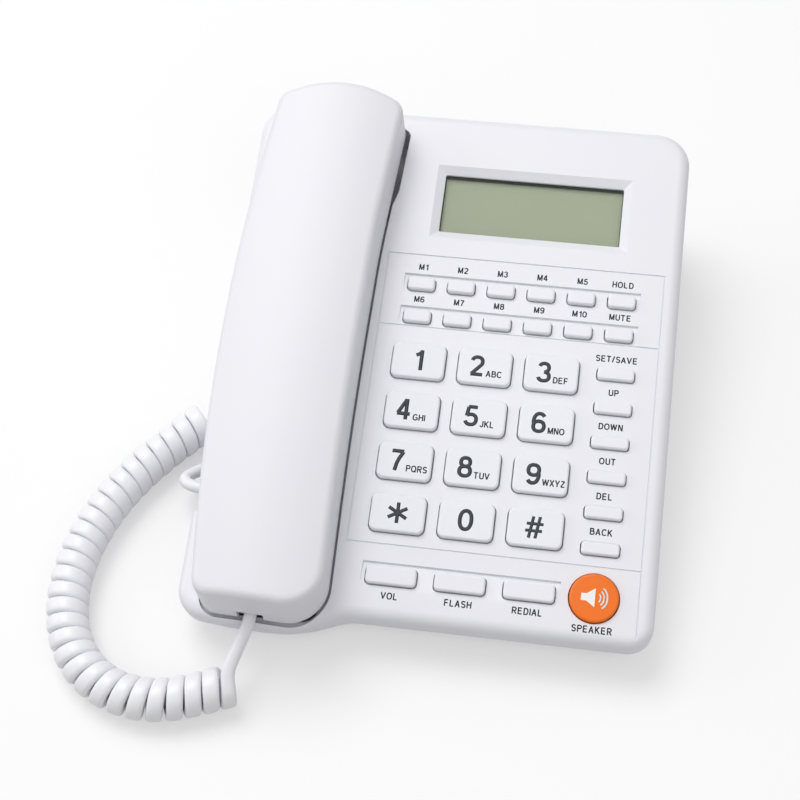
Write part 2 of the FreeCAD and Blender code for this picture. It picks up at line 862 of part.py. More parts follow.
def door_pocket(amount, low, high):
    """Recess of the battery door, longer than the bay so that the door can slide open."""
    x_range = (battery_x[0] - amount, battery_x[1] + amount)
    y_range = (battery_y[0] - amount, battery_y[1] + door_slide + run_gap + amount)
    return block(x_range, y_range, (low, high))


def door_pocket_top():
    """Inner end of the door's recess."""
    return base_bottom_z() + door_thickness + run_gap


def tongue_places():
    """Places of the door's side tongues along its length."""
    return (battery_y[0] + 9.0, battery_y[1] - 9.0)


def tongue(side, y, amount, low, high):
    """One side tongue of the battery door, or with an amount the space around it."""
    edge = battery_x[0] if side < 0 else battery_x[1]
    inner = edge - side * 2.0
    outer = edge + side * (door_tongue + amount)
    half = 4.0 + amount
    return block((min(inner, outer), max(inner, outer)), (y - half, y + half), (low, high))


def tongue_groove(side, y):
    """Groove a tongue slides in, with the notch through which it leaves."""
    low = base_bottom_z() + tongue_low - run_gap
    high = door_pocket_top()
    closed = tongue(side, y, run_gap, low, high)
    opened = tongue(side, y + door_slide, run_gap, 0, high)
    return closed.fuse(opened)


def battery_door():
    """Sliding door in the underside, with two tongues on each side and finger ridges."""
    low = base_bottom_z()
    x_range = (battery_x[0] + run_gap, battery_x[1] - run_gap)
    y_range = (battery_y[0] + run_gap, battery_y[1] - run_gap)
    door = block(x_range, y_range, (low, low + door_thickness))
    for y in tongue_places():
        for side in (-1, 1):
            door = door.fuse(tongue(side, y, 0, low + tongue_low, low + door_thickness))
    for i in range(4):
        y = battery_y[0] + 6.0 + 2.5 * i
        door = door.cut(block((battery_x[0] + 10, battery_x[1] - 10), (y, y + 1), (0, low + 0.5)))
    return door.removeSplitter()


def battery_cells():
    """Three cells side by side over the door."""
    pitch = (battery_x[1] - battery_x[0]) / cell_count
    z = base_bottom_z() + door_thickness + run_gap + cell_r
    y = battery_y[0] + 1.0
    cells = []
    for i in range(cell_count):
        x = battery_x[0] + (i + 0.5) * pitch
        cell = Part.makeCylinder(cell_r, cell_length, V(x, y, z), Y_AXIS)
        tip = Part.makeCylinder(1.9, 1.2, V(x, y + cell_length, z), Y_AXIS)
        cells.append(cell.fuse(tip).removeSplitter())
    return Part.makeCompound(cells)


def bottom_housing():
    """Lower casing with battery bay, screw posts, grille and plug bay walls."""
    low = base_bottom_z()
    outer = tray(0, low)
    shell = outer.cut(tray(wall, low + floor_thickness))
    walls = bay_space(wall).common(outer)
    shell = shell.fuse(walls)
    shell = shell.fuse(battery_block(bay_wall, low, battery_top_z() + bay_wall))
    shell = shell.fuse(door_pocket(bay_wall, low, door_pocket_top() + bay_wall))
    for place in screw_places:
        shell = shell.fuse(rod(place, 5.0, low, screw_joint_z).common(outer))
    shell = shell.fuse(speaker_ring())
    shell = shell.cut(bay_space(0)).cut(battery_block(0, 0, battery_top_z()))
    shell = shell.cut(door_pocket(0, 0, door_pocket_top()))
    for y in tongue_places():
        for side in (-1, 1):
            shell = shell.cut(tongue_groove(side, y))
    for place in screw_places:
        head_low = screw_joint_z - floor_thickness
        shell = shell.cut(rod(place, screw_r + 0.2, 0, 20)).cut(rod(place, 3.1, 0, head_low))
    for place in foot_places:
        shell = shell.cut(rod(place, foot_r, 0, foot_height))
    return shell.cut(floor_openings()).cut(base_jack_body(fit_gap)).removeSplitter()


def speaker_ring():
    """Low ring that locates the loudspeaker on the floor."""
    top = base_bottom_z() + floor_thickness
    ring = rod(speaker_place, speaker_r + 2.0, top - 0.5, top + 3.0)
    return ring.cut(rod(speaker_place, speaker_r + fit_gap, top - 1.0, top + 4.0))


def floor_openings():
    """Grille slots under the loudspeaker and the two keyholes for a wall."""
    cutters = []
    for i in range(grille_slots):
        y = speaker_place[1] + (i - (grille_slots - 1) / 2) * grille_pitch
        cutters.append(rounded_box((speaker_place[0], y), grille_slot, 0.9, 0, foot_height + 2.5))
    size = (2 * wall_slot_r, wall_slot_length)
    for side in (-1, 1):
        centre = (wall_slot_x, side * wall_slot_spacing / 2)
        slot = rounded_box(centre, size, wall_slot_r - 0.001, 0, foot_height + 2.5)
        entry = (centre[0], centre[1] - wall_slot_length / 2 + wall_slot_r)
        cutters.append(slot.fuse(rod(entry, wall_entry_r, 0, foot_height + 2.5)))
    return Part.makeCompound(cutters)


def loudspeaker():
    """Loudspeaker facing down: frame, cone and magnet as one turned solid."""
    low = base_bottom_z() + floor_thickness + fit_gap
    r = speaker_r
    profile = ((0, 4), (4, 3), (r - 3, 1.2), (r - 2, 0), (r, 0), (r, 2), (r * 0.55, 7),
               (r * 0.55, speaker_depth), (0, speaker_depth))
    points = [V(p[0], 0, p[1]) for p in profile]
    solid = Part.Face(Part.makePolygon(points + [points[0]])).revolve(V(0, 0, 0), Z_AXIS, 360)
    solid.translate(V(speaker_place[0], speaker_place[1], low))
    return solid


def rubber_feet():
    """Four feet seated in shallow recesses of the floor."""
    feet = []
    for place in foot_places:
        foot = rod(place, foot_r - fit_gap, 0, foot_height)
        feet.append(round_edges(foot, 0.6, lambda p: all_level(p, 0, lambda q: q.z)))
    return Part.makeCompound(feet)


def base_screws():
    """Four screws that draw the two casings together."""
    seat = screw_joint_z - floor_thickness
    return Part.makeCompound(
        [screw(p, seat, screw_r, screw_head_r, screw_head, screw_length) for p in screw_places])


def base_jack_body(margin):
    """Outside of the jack behind the side bay."""
    half_y = handset_plug[0] / 2 + jack_wall + margin
    half_z = handset_plug[1] / 2 + jack_wall + margin
    x_range = (bay_x - margin, bay_x + jack_depth + jack_wall + margin)
    return block(x_range, (base_jack_y - half_y, base_jack_y + half_y),
                 (base_jack_z - half_z, base_jack_z + half_z))


def base_handset_jack():
    """Jack that takes the coiled cord's plug in the side bay."""
    size = (jack_depth, handset_plug[0], handset_plug[1])
    cavity = plug_block((bay_x + jack_depth / 2, base_jack_y, base_jack_z), size, fit_gap)
    return base_jack_body(0).cut(cavity)


def plug_base():
    """Plug on the base end of the cord."""
    left = bay_x - plug_out
    centre = (left + handset_plug[2] / 2, base_jack_y, base_jack_z)
    body = plug_block(centre, (handset_plug[2], handset_plug[0], handset_plug[1]), 0)
    latch = block((left + 1.0, left + plug_out - 0.5), (base_jack_y - 1.6, base_jack_y + 1.6),
                  (base_jack_z, base_jack_z + handset_plug[1] / 2 + 1.4))
    return body.fuse(latch).removeSplitter()


def line_jack_body(margin):
    """Outside of the line jack in the rear wall."""
    half_x = line_socket[0] / 2 + jack_wall + margin
    half_z = line_socket[1] / 2 + jack_wall + margin
    y_range = (base_rear_y - line_jack_depth - jack_wall - margin, base_rear_y + margin)
    return block((line_jack_x - half_x, line_jack_x + half_x), y_range,
                 (line_jack_z - half_z, line_jack_z + half_z))


def line_jack():
    """Line jack with its open socket."""
    cavity = block((line_jack_x - line_socket[0] / 2, line_jack_x + line_socket[0] / 2),
                   (base_rear_y - line_jack_depth, base_rear_y + 1),
                   (line_jack_z - line_socket[1] / 2, line_jack_z + line_socket[1] / 2))
    return line_jack_body(0).cut(cavity)


def key_mat():
    """Rubber mat with a dome under every key."""
    top = board_top_w() + mat_sheet
    edge = 2.0
    mat = block((board_x[0] + edge, board_x[1]), (board_v[0], function_rows_v[0] + 9.0),
                (top - mat_sheet, top))
    for place in board_post_places:
        mat = mat.cut(rod(place, post_r + 0.5, -40, 0))
    domes = []
    for name, centre, size, radius, height in key_places():
        domes.append(rod(centre, dome_r, top, top + dome_height))
    return on_deck(mat.fuse(domes).removeSplitter())


def circuit_board():
    """Main board with soldered parts, and the small hook switch board under the cradle."""
    top = board_top_w()
    low = top - board_thickness
    solids = [block(board_x, board_v, (low, top))]
    for i in range(3):
        x = board_x[0] + 14.0 + 22.0 * i
        solids.append(block((x, x + 12), (12.0, 20.0), (low - 2.2, low)))
    solids.append(rod((50.0, -20.0), 5.0, low - 11.0, low))
    solids.append(rod((36.0, -20.0), 4.0, low - 8.0, low))
    solids.append(rod((2.0, -58.0), 3.0, low - 3.0, low))
    panel_low = -wall - window_thickness - fit_gap - panel_thickness
    for v in (display_v[0] + 1.0, display_v[1] - 3.0):
        solids.append(block((key5_x + display_u[0], key5_x + display_u[1]), (v, v + 2.0),
                            (top, panel_low)))
    half_x = hook_board_size[0] / 2
    half_v = hook_board_size[1] / 2
    solids.append(block((handset_x - half_x, handset_x + half_x), (hook_v - half_v, hook_v + half_v),
                        (hook_board_w - board_thickness, hook_board_w)))
    solids.append(block((handset_x - 4, handset_x + 4), (hook_v + 5.5, hook_v + 9.5),
                        (hook_board_w, hook_board_w + 4.0)))
    return Part.makeCompound([on_deck(s) for s in solids])


def hook_plunger():
    """Sprung button in the cradle floor that the handset holds down."""
    top = handset_under_w - run_gap
    flange_top = hook_flange_w()
    button = hook_opening(0, flange_top, top)
    button = round_edges(button, 1.0, lambda p: all_level(p, top, lambda q: q.z))
    flange = rod((handset_x, hook_v), 5.2, flange_top - hook_flange, flange_top)
    pin = rod((handset_x, hook_v), spring_r - 1.2, flange_top - hook_flange - 4.0, flange_top)
    return on_deck(button.fuse(flange).fuse(pin).removeSplitter())


def hook_spring():
    """Compression spring between the switch board and the plunger's flange."""
    low = hook_board_w + spring_wire_r
    high = hook_flange_w() - hook_flange - spring_wire_r
    pitch = (high - low) / spring_turns

    def at(angle):
        turn = math.radians(angle)
        return V(handset_x + spring_r * math.cos(turn), hook_v + spring_r * math.sin(turn),
                 low + pitch * angle / 360.0)

    def heading(angle):
        turn = math.radians(angle)
        side = 2 * math.pi * spring_r
        tangent = V(-math.sin(turn) * side, math.cos(turn) * side, pitch)
        return tangent.normalize()

    edges = []
    step = 90
    for angle in range(0, spring_turns * 360, step):
        edges += biarc(at(angle), heading(angle), at(angle + step), heading(angle + step))
    return on_deck(tube(edges, spring_wire_r))


def arc_from(start, heading, end):
    """Arc that leaves the start along a heading and reaches the end."""
    chord = end - start
    across = chord - heading * chord.dot(heading)
    if across.Length < 1e-6:
        return Part.LineSegment(start, end).toShape()
    radius = chord.dot(chord) / (2 * across.Length)
    across.normalize()
    centre = start + across * radius
    outward = (start - centre) + (end - centre)
    outward.normalize()
    return Part.Arc(start, centre + outward * radius, end).toShape()


def biarc(start, start_heading, end, end_heading):
    """Two arcs that join two points with given headings."""
    span = end - start
    total = start_heading + end_heading
    fall = 2 * (1 - start_heading.dot(end_heading))
    lean = span.dot(total)
    if fall < 1e-9:
        reach = span.dot(span) / (4 * span.dot(end_heading))
    else:
        reach = (-lean + math.sqrt(lean * lean + fall * span.dot(span))) / fall
    joint = (start + start_heading * reach + end - end_heading * reach) * 0.5
    second = arc_from(end, end_heading * -1, joint)
    return [arc_from(start, start_heading, joint), flipped(second)]


def flipped(edge):
    """The same arc run the other way."""
    points = edge_points(edge)
    if isinstance(edge.Curve, Part.Line):
        return Part.LineSegment(points[2], points[0]).toShape()
    return Part.Arc(points[2], points[1], points[0]).toShape()


def tube(edges, radius):
    """Round tube along joined lines and arcs."""
    path = Part.Wire(edges)
    start = edges[0].valueAt(edges[0].FirstParameter)
    heading = edges[0].tangentAt(edges[0].FirstParameter)
    ring = Part.Wire([Part.Circle(start, heading, radius).toShape()])
    return path.makePipeShell([ring], True, False)


def coil_curve():
    """Smooth axis of the coil: a quadratic curve with the chosen points as its poles."""
    poles = [V(p[0], p[1], coil_outer_d / 2 + coil_lift) for p in coil_axis]
    spans = len(poles) - 2
    mults = [3] + [1] * (spans - 1) + [3]
    curve = Part.BSplineCurve()
    curve.buildFromPolesMultsKnots(poles, mults, list(range(spans + 1)), False, 2)
    return curve


def coil_end_angle():
    """Turned angle at which the coil ends, with the wire at the foot of its last turn."""
    return 360.0 * coil_turns + coil_start_angle + 90.0


def coil_point(curve, length, turned):
    """Point of the coiled wire after it has turned through an angle."""
    parameter = curve.parameterAtDistance(length * turned / coil_end_angle())
    along = curve.tangent(parameter)[0]
    left = V(-along.y, along.x, 0)
    angle = math.radians(coil_start_angle - turned)
    r = (coil_outer_d - cord_d) / 2
    return curve.value(parameter) + left * (r * math.cos(angle)) + Z_AXIS * (r * math.sin(angle))


def coil_heading(curve, length, turned):
    """Direction of the coiled wire after it has turned through an angle."""
    step = 0.5
    last = coil_end_angle()
    before = coil_point(curve, length, max(turned - step, 0))
    after = coil_point(curve, length, min(turned + step, last))
    heading = after - before
    return heading.normalize()


def coil_path():
    """Joined arcs of the coiled wire, with one straight diameter at each end."""
    curve = coil_curve()
    length = curve.length()
    steps = int(round(coil_end_angle() / 90.0))
    stops = [coil_end_angle() * i / steps for i in range(steps + 1)]
    points = [coil_point(curve, length, s) for s in stops]
    headings = [coil_heading(curve, length, s) for s in stops]
    first = points[0] - headings[0] * cord_d
    last = points[-1] + headings[-1] * cord_d
    edges = [Part.LineSegment(first, points[0]).toShape()]
    for i in range(steps):
        edges += biarc(points[i], headings[i], points[i + 1], headings[i + 1])
    edges.append(Part.LineSegment(points[-1], last).toShape())
    report_coil(edges, length)
    return edges, (first, headings[0]), (last, headings[-1])


def report_coil(edges, length):
    """Print the coil's least gap to itself, its wire length and its tightest arc."""
    samples = []
    travelled = 0.0
    for edge in edges:
        count = 6
        for i in range(count):
            share = edge.FirstParameter + (edge.LastParameter - edge.FirstParameter) * i / count
            samples.append((travelled + edge.Length * i / count, edge.valueAt(share)))
        travelled += edge.Length
    least = 1e9
    for i, (at, point) in enumerate(samples):
        for other_at, other in samples[i + 1:i + 60]:
            if other_at - at > 4 * cord_d:
                least = min(least, point.distanceToPoint(other) - cord_d)
    tightest = min(e.Curve.Radius for e in edges if hasattr(e.Curve, "Radius"))
    print("coil axis %.1f mm, wire %.1f mm, least gap %.2f mm, tightest arc %.2f mm"
          % (length, travelled, least, tightest))


def lead_path(name, points):
    """Straight runs joined by tangent arcs, as large as the shorter run beside each allows."""
    edges = []
    start = points[0]
    radii = []
    for i in range(1, len(points) - 1):
        before = points[i - 1] - points[i]
        after = points[i + 1] - points[i]
        reach = 0.45 * min(before.Length, after.Length)
        before.normalize()
        after.normalize()
        half = before.getAngle(after) / 2
        radius = reach * math.tan(half)
        radii.append(radius)
        entry = points[i] + before * reach
        leave = points[i] + after * reach
        inward = before + after
        inward.normalize()
        middle = points[i] + inward * (radius / math.sin(half) - radius)
        edges.append(Part.LineSegment(start, entry).toShape())
        edges.append(Part.Arc(entry, middle, leave).toShape())
        start = leave
    edges.append(Part.LineSegment(start, points[-1]).toShape())
    total = sum(e.Length for e in edges)
    print("%s: %.1f mm long, radii %s" % (name, total, " ".join("%.1f" % r for r in radii)))
    return edges


def handset_lead_points(coil_start):
    """Route of the lead from the handset's plug down to the coil."""
    end, heading = coil_start
    plug_v = handset_front_v + notch_depth - 1.0
    return [
        deck_point(handset_jack_x, plug_v, handset_jack_w),
        deck_point(handset_jack_x, plug_v - 5.0, handset_jack_w),
        end - heading * 5.0,
        end,
    ]


def base_lead_points(coil_end):
    """Route of the lead from the coil along the foot of the base and into the side bay."""
    end, heading = coil_end
    return [
        end,
        end + heading * 8.4,
        V(-78.9, -29.4, 3.4),
        V(-87.3, -39.6, 10.2),
        V(-84.6, -43.9, 12.7),
        V(-77.6, base_jack_y, base_jack_z),
        V(bay_x - plug_out, base_jack_y, base_jack_z),
    ]


def cord_pieces():
    """The coil and the two leads, which meet end to end."""
    edges, coil_start, coil_end = coil_path()
    handset_lead = lead_path("handset lead", handset_lead_points(coil_start))
    base_lead = lead_path("base lead", base_lead_points(coil_end))
    pieces = {}
    for name, path in (("curly_cord", edges), ("cord_lead_handset", handset_lead),
                       ("cord_lead_base", base_lead)):
        solid = tube(path, cord_d / 2)
        expected = math.pi * cord_d ** 2 / 4 * sum(e.Length for e in path)
        print("%s: volume %.4f of its section times its length" % (name, solid.Volume / expected))
        pieces[name] = solid
    return pieces


def main():
    """Build and write every piece."""
    os.makedirs("parts", exist_ok=True)
    for name, centre, size, radius, height in key_places():
        save(name, key(centre, size, radius, height))
    save("top_housing", top_housing())
    save("bottom_housing", bottom_housing())
    save("display_window", display_window())
    save("display_panel", display_panel())
    save("key_mat", key_mat())
    save("circuit_board", circuit_board())
    save("hook_plunger", hook_plunger())
    save("hook_spring", hook_spring())
    save("loudspeaker", loudspeaker())
    save("battery_door", battery_door())
    save("battery_cells", battery_cells())
    save("rubber_feet", rubber_feet())
    save("base_screws", base_screws())
    save("base_handset_jack", base_handset_jack())
    save("line_jack", line_jack())
    save("plug_base", plug_base())
    save("handset_outer_shell", on_deck(handset_outer_shell()))
    save("handset_inner_shell", on_deck(handset_inner_shell()))
    save("handset_screws", on_deck(handset_screws()))
    save("handset_jack", on_deck(handset_jack()))
    save("plug_handset", on_deck(plug_handset()))
    save("earpiece_capsule", on_deck(earpiece_capsule()))
    save("microphone_capsule", on_deck(microphone_capsule()))
    for name, solid in cord_pieces().items():
        save(name, solid)


main()
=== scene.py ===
"""Looks of a white corded desk telephone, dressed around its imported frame.

Lengths are in metres where nothing else is said.
"""

import bisect
import json
import logging
import math
from collections.abc import Callable, Iterator
from contextlib import contextmanager
from dataclasses import dataclass, field
from enum import Enum

import bmesh
import bpy
from mathutils import Matrix, Vector
from mathutils.kdtree import KDTree


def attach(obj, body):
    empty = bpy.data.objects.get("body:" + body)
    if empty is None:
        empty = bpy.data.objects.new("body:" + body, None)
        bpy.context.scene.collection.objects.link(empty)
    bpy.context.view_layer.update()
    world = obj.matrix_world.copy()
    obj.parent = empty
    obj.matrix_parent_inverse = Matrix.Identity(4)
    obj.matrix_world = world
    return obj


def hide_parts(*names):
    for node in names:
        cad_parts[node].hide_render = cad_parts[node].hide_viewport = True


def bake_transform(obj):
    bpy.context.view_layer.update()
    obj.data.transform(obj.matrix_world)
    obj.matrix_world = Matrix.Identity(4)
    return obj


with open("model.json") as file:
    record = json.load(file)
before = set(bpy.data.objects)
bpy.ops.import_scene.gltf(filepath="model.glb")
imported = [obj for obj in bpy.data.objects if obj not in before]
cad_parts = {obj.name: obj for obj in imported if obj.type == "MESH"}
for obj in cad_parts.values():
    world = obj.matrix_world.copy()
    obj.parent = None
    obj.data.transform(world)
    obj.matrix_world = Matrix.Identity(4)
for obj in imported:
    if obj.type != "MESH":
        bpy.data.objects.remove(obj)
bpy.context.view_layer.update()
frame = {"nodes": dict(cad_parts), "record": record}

LOG = logging.getLogger("telephone")
MM = 0.001
Colour = tuple[float, float, float]
Spot = tuple[float, float, float]
Flat = tuple[float, float]
Run = list[Flat]


def srgb(red: int, green: int, blue: int) -> Colour:
    """Linear colour of a screen colour.

    Args:
        red: Red, up to 255.
        green: Green, up to 255.
        blue: Blue, up to 255.

    Returns:
        The colour, up to one in each channel.
    """
    def channel(value: int) -> float:
        """Linear value of one screen channel."""
        share = value / 255.0
        return share / 12.92 if share <= 0.04045 else ((share + 0.055) / 1.055) ** 2.4

    return channel(red), channel(green), channel(blue)


def metres(*sizes: float) -> Vector:
    """Point or size given in millimetres."""
    return Vector(sizes) * MM


def report(piece: bpy.types.Object) -> None:
    """Note a finished piece."""
    LOG.info("%s: %d faces", piece.name, len(piece.data.polygons))


@dataclass(frozen=True)
class Deck:
    """Sloped key field. Places on it are x, then v up the slope and w square to it, in mm."""

    tilt: float = math.radians(12.0)
    y: float = -19.1
    z: float = 35.0

    def matrix(self, x: float, v: float, w: float) -> Matrix:
        """Frame that lies on the deck at a place."""
        return Matrix.Translation(self.point(x, v, w)) @ Matrix.Rotation(self.tilt, 4, "X")

    def point(self, x: float, v: float, w: float) -> Vector:
        """Place on the deck as a point of the telephone.

        Args:
            x: Place across the deck.
            v: Place up the slope.
            w: Height square to the slope.

        Returns:
            The point, in metres.
        """
        run = v * math.cos(self.tilt) - w * math.sin(self.tilt)
        rise = v * math.sin(self.tilt) + w * math.cos(self.tilt)
        return metres(x, self.y + run, self.z + rise)


DECK = Deck()


class Value:
    """A number that changes over a surface. Arithmetic on it adds Math nodes."""

    def __init__(self, graph: "Graph", socket: bpy.types.NodeSocket) -> None:
        """Wrap a socket.

        Args:
            graph: The node tree that the socket is in.
            socket: The output that gives the number.
        """
        self.graph = graph
        self.socket = socket

    def __add__(self, other: "Value | float") -> "Value":
        """Sum of two values."""
        return self.graph.maths("ADD", self, other)

    def __sub__(self, other: "Value | float") -> "Value":
        """What is left of the value."""
        return self.graph.maths("SUBTRACT", self, other)

    def __rsub__(self, other: float) -> "Value":
        """What is left of a number."""
        return self.graph.maths("SUBTRACT", other, self)

    def __mul__(self, other: "Value | float") -> "Value":
        """Product of two values."""
        return self.graph.maths("MULTIPLY", self, other)

    def __gt__(self, other: float) -> "Value":
        """One where the value is above a number, and nought elsewhere."""
        return self.graph.maths("GREATER_THAN", self, other)

    __radd__ = __add__
    __rmul__ = __mul__


class Sheet:
    """Nodes of one material or of the surroundings."""

    def __init__(self, owner: bpy.types.Material | bpy.types.World) -> None:
        """Start with no nodes.

        Args:
            owner: What the nodes belong to.
        """
        owner.use_nodes = True
        self.tree = owner.node_tree
        self.tree.nodes.clear()

    def add(self, kind: str, settings: dict | None = None,
            inputs: dict | None = None) -> bpy.types.Node:
        """Add a node.

        Args:
            kind: The node's type.
            settings: Its properties.
            inputs: Numbers, colours, values or outputs for its sockets, by name or number.

        Returns:
            The new node.
        """
        node = self.tree.nodes.new(kind)
        for name, setting in (settings or {}).items():
            setattr(node, name, setting)
        for name, given in (inputs or {}).items():
            self.feed(node.inputs[name], given)
        return node

    def feed(self, socket: bpy.types.NodeSocket, given: object) -> None:
        """Set a socket's own value, or link what varies to it.

        Args:
            socket: The input socket.
            given: Number, colour, vector, value or output.
        """
        if isinstance(given, Value):
            self.tree.links.new(given.socket, socket)
        elif isinstance(given, bpy.types.NodeSocket):
            self.tree.links.new(given, socket)
        elif isinstance(given, tuple) and len(given) == 3 and socket.type == "RGBA":
            socket.default_value = (*given, 1.0)
        else:
            socket.default_value = given


class Graph(Sheet):
    """Nodes of one material around its principled shader."""

    def __init__(self, name: str) -> None:
        """Start a material with its shader and output.

        Args:
            name: Name of the material.
        """
        self.material = bpy.data.materials.new(name)
        super().__init__(self.material)
        self.output = self.add("ShaderNodeOutputMaterial")
        self.shader = self.add("ShaderNodeBsdfPrincipled")
        self.feed(self.output.inputs["Surface"], self.shader.outputs["BSDF"])

    def maths(self, operation: str, first: Value | float, second: Value | float) -> Value:
        """Value worked out from two others."""
        node = self.add("ShaderNodeMath", {"operation": operation}, {0: first, 1: second})
        return Value(self, node.outputs[0])

    def place(self, scale: Spot = (1.0, 1.0, 1.0), turn: float = 0.0) -> bpy.types.NodeSocket:
        """Object coordinates, scaled and turned about X for a pattern.

        Args:
            scale: How often the pattern repeats along each axis.
            turn: Angle about X in radians.

        Returns:
            The vector output.
        """
        source = self.add("ShaderNodeTexCoord")
        mapping = self.add("ShaderNodeMapping", {"vector_type": "POINT"}, {
            "Vector": source.outputs["Object"], "Scale": scale, "Rotation": (turn, 0.0, 0.0)})
        return mapping.outputs["Vector"]

    def noise(self, size: float, detail: float = 2.0,
              vector: bpy.types.NodeSocket | None = None) -> Value:
        """Cloudy value between nought and one.

        Args:
            size: Size of its patches in metres.
            detail: Number of finer layers.
            vector: Coordinates, or plain object coordinates when left out.

        Returns:
            The pattern's value.
        """
        node = self.add("ShaderNodeTexNoise", {}, {
            "Vector": vector or self.place(), "Scale": 1.0 / size, "Detail": detail})
        return Value(self, node.outputs["Fac"])

    def cells(self, size: float) -> Value:
        """Distance from the middles of grains of about one size."""
        node = self.add("ShaderNodeTexVoronoi", {"feature": "F1"}, {
            "Vector": self.place(), "Scale": 1.0 / size})
        return Value(self, node.outputs["Distance"])

    def mix(self, share: Value, first: object, second: object) -> bpy.types.NodeSocket:
        """Colour between two colours."""
        node = self.add("ShaderNodeMix", {"data_type": "RGBA"}, {0: share, 6: first, 7: second})
        return node.outputs[2]

    def spread(self, value: Value, low: float, high: float) -> Value:
        """The value, from nought to one, stretched between two numbers."""
        return value * (high - low) + low

    def bump(self, height: Value, depth: float) -> None:
        """Raise the surface by a pattern whose full height is a depth in metres."""
        node = self.add("ShaderNodeBump", {}, {
            "Height": height, "Distance": depth, "Strength": 1.0})
        self.feed(self.shader.inputs["Normal"], node.outputs["Normal"])

    def set(self, **sockets: object) -> None:
        """Set the shader's sockets, with an underscore for each blank in a name."""
        for name, given in sockets.items():
            self.feed(self.shader.inputs[name.replace("_", " ")], given)


@dataclass(frozen=True)
class Finish:
    """Moulded plastic: a spark-eroded skin with faint flow clouding.

    Attributes:
        name: The record's material slot.
        colour: Base colour.
        shade: Colour of the faint clouds.
        gloss: Lowest and highest roughness.
        grain: Size of the skin's grains.
        relief: Height of the grains.
        cloud: Size of the clouds.
        streak: Size of the patches of gloss.
        index: Refractive index.
    """

    name: str
    colour: Colour
    shade: Colour
    gloss: tuple[float, float] = (0.32, 0.42)
    grain: float = 0.45 * MM
    relief: float = 0.006 * MM
    cloud: float = 28.0 * MM
    streak: float = 3.0 * MM
    index: float = 1.49

    def material(self) -> bpy.types.Material:
        """The finish as a material, made once.

        Returns:
            The material.
        """
        title = self.name + "_finish"
        found = bpy.data.materials.get(title)
        if found is not None:
            return found
        graph = Graph(title)
        self.dress(graph)
        return graph.material

    def dress(self, graph: Graph) -> None:
        """Fill in the shader.

        Args:
            graph: The material's nodes.
        """
        clouds = graph.noise(self.cloud, 3.0)
        grain = graph.noise(self.grain, 2.0)
        graph.set(Base_Color=graph.mix(clouds, self.colour, self.shade),
                  Roughness=graph.spread(graph.noise(self.streak, 4.0), *self.gloss),
                  IOR=self.index)
        graph.bump(grain, self.relief)


@dataclass(frozen=True)
class Rubber(Finish):
    """Matt rubber with a pebbled skin and a dusty bloom."""

    cloud: float = 4.0 * MM
    index: float = 1.52

    def dress(self, graph: Graph) -> None:
        """Fill in the shader.

        Args:
            graph: The material's nodes.
        """
        bloom = graph.noise(self.cloud, 5.0)
        graph.set(Base_Color=graph.mix(bloom, self.colour, self.shade),
                  Roughness=graph.spread(bloom, *self.gloss), IOR=self.index)
        graph.bump(graph.cells(self.grain), self.relief)


@dataclass(frozen=True)
class Metal(Finish):
    """Bare or plated metal with fine drawn lines."""

    cloud: float = 6.0 * MM
    lines: Spot = (1.0, 1.0, 12.0)

    def dress(self, graph: Graph) -> None:
        """Fill in the shader.

        Args:
            graph: The material's nodes.
        """
        drawn = graph.noise(self.grain, 3.0, graph.place(self.lines))
        stain = graph.noise(self.cloud, 4.0)
        graph.set(Base_Color=graph.mix(stain, self.colour, self.shade), Metallic=1.0,
                  Roughness=graph.spread(drawn, *self.gloss))
        graph.bump(drawn, self.relief)


@dataclass(frozen=True)
class Clear(Finish):
    """Clear plastic with a faint haze. Its body is the share that hides what lies behind."""

    cloud: float = 9.0 * MM
    body: float = 0.14

    def dress(self, graph: Graph) -> None:
        """Fill in the shader.

        Args:
            graph: The material's nodes.
        """
        haze = graph.noise(self.cloud, 3.0)
        graph.set(Base_Color=self.colour,
                  Alpha=graph.spread(haze, self.body * 0.9, self.body * 1.1),
                  Roughness=graph.spread(haze, *self.gloss), IOR=self.index,
                  Specular_IOR_Level=0.9)


@dataclass(frozen=True)
class Laminate(Finish):
    """Circuit board: green mask over etched tracks, with tinned pads."""

    streak: float = 1.5 * MM
    tracks_per_metre: float = 110.0
    pad: float = 3.2 * MM
    pad_edge: float = 0.24
    tin: Colour = srgb(196, 196, 190)
    etched_depth: float = 0.03 * MM

    def dress(self, graph: Graph) -> None:
        """Fill in the shader.

        Args:
            graph: The material's nodes.
        """
        tracks = graph.add("ShaderNodeTexBrick", {"offset": 0.5, "squash": 1.4}, {
            "Vector": graph.place(turn=-DECK.tilt), "Scale": self.tracks_per_metre,
            "Mortar Size": 0.03, "Brick Width": 0.9, "Row Height": 0.22,
            "Color1": (0.0, 0.0, 0.0), "Color2": (0.0, 0.0, 0.0), "Mortar": (1.0, 1.0, 1.0)})
        etched = Value(graph, tracks.outputs["Color"])
        pads = 1.0 - (graph.cells(self.pad) > self.pad_edge)
        mask = graph.mix(etched, self.colour, self.shade)
        graph.set(Base_Color=graph.mix(pads, mask, self.tin), Metallic=pads * 0.9,
                  Roughness=graph.spread(graph.noise(self.streak), *self.gloss))
        graph.bump(etched + pads, self.etched_depth)


@dataclass(frozen=True)
class Screen(Finish):
    """Reflective liquid crystal panel, a little uneven in tone."""

    grain: float = 0.12 * MM
    cloud: float = 22.0 * MM
    index: float = 1.45

    def dress(self, graph: Graph) -> None:
        """Fill in the shader.

        Args:
            graph: The material's nodes.
        """
        clouds = graph.noise(self.cloud, 2.0)
        weave = graph.noise(self.grain, 1.0)
        graph.set(Base_Color=graph.mix(clouds, self.colour, self.shade),
                  Roughness=graph.spread(weave, *self.gloss), IOR=self.index)
        graph.bump(weave, self.relief)


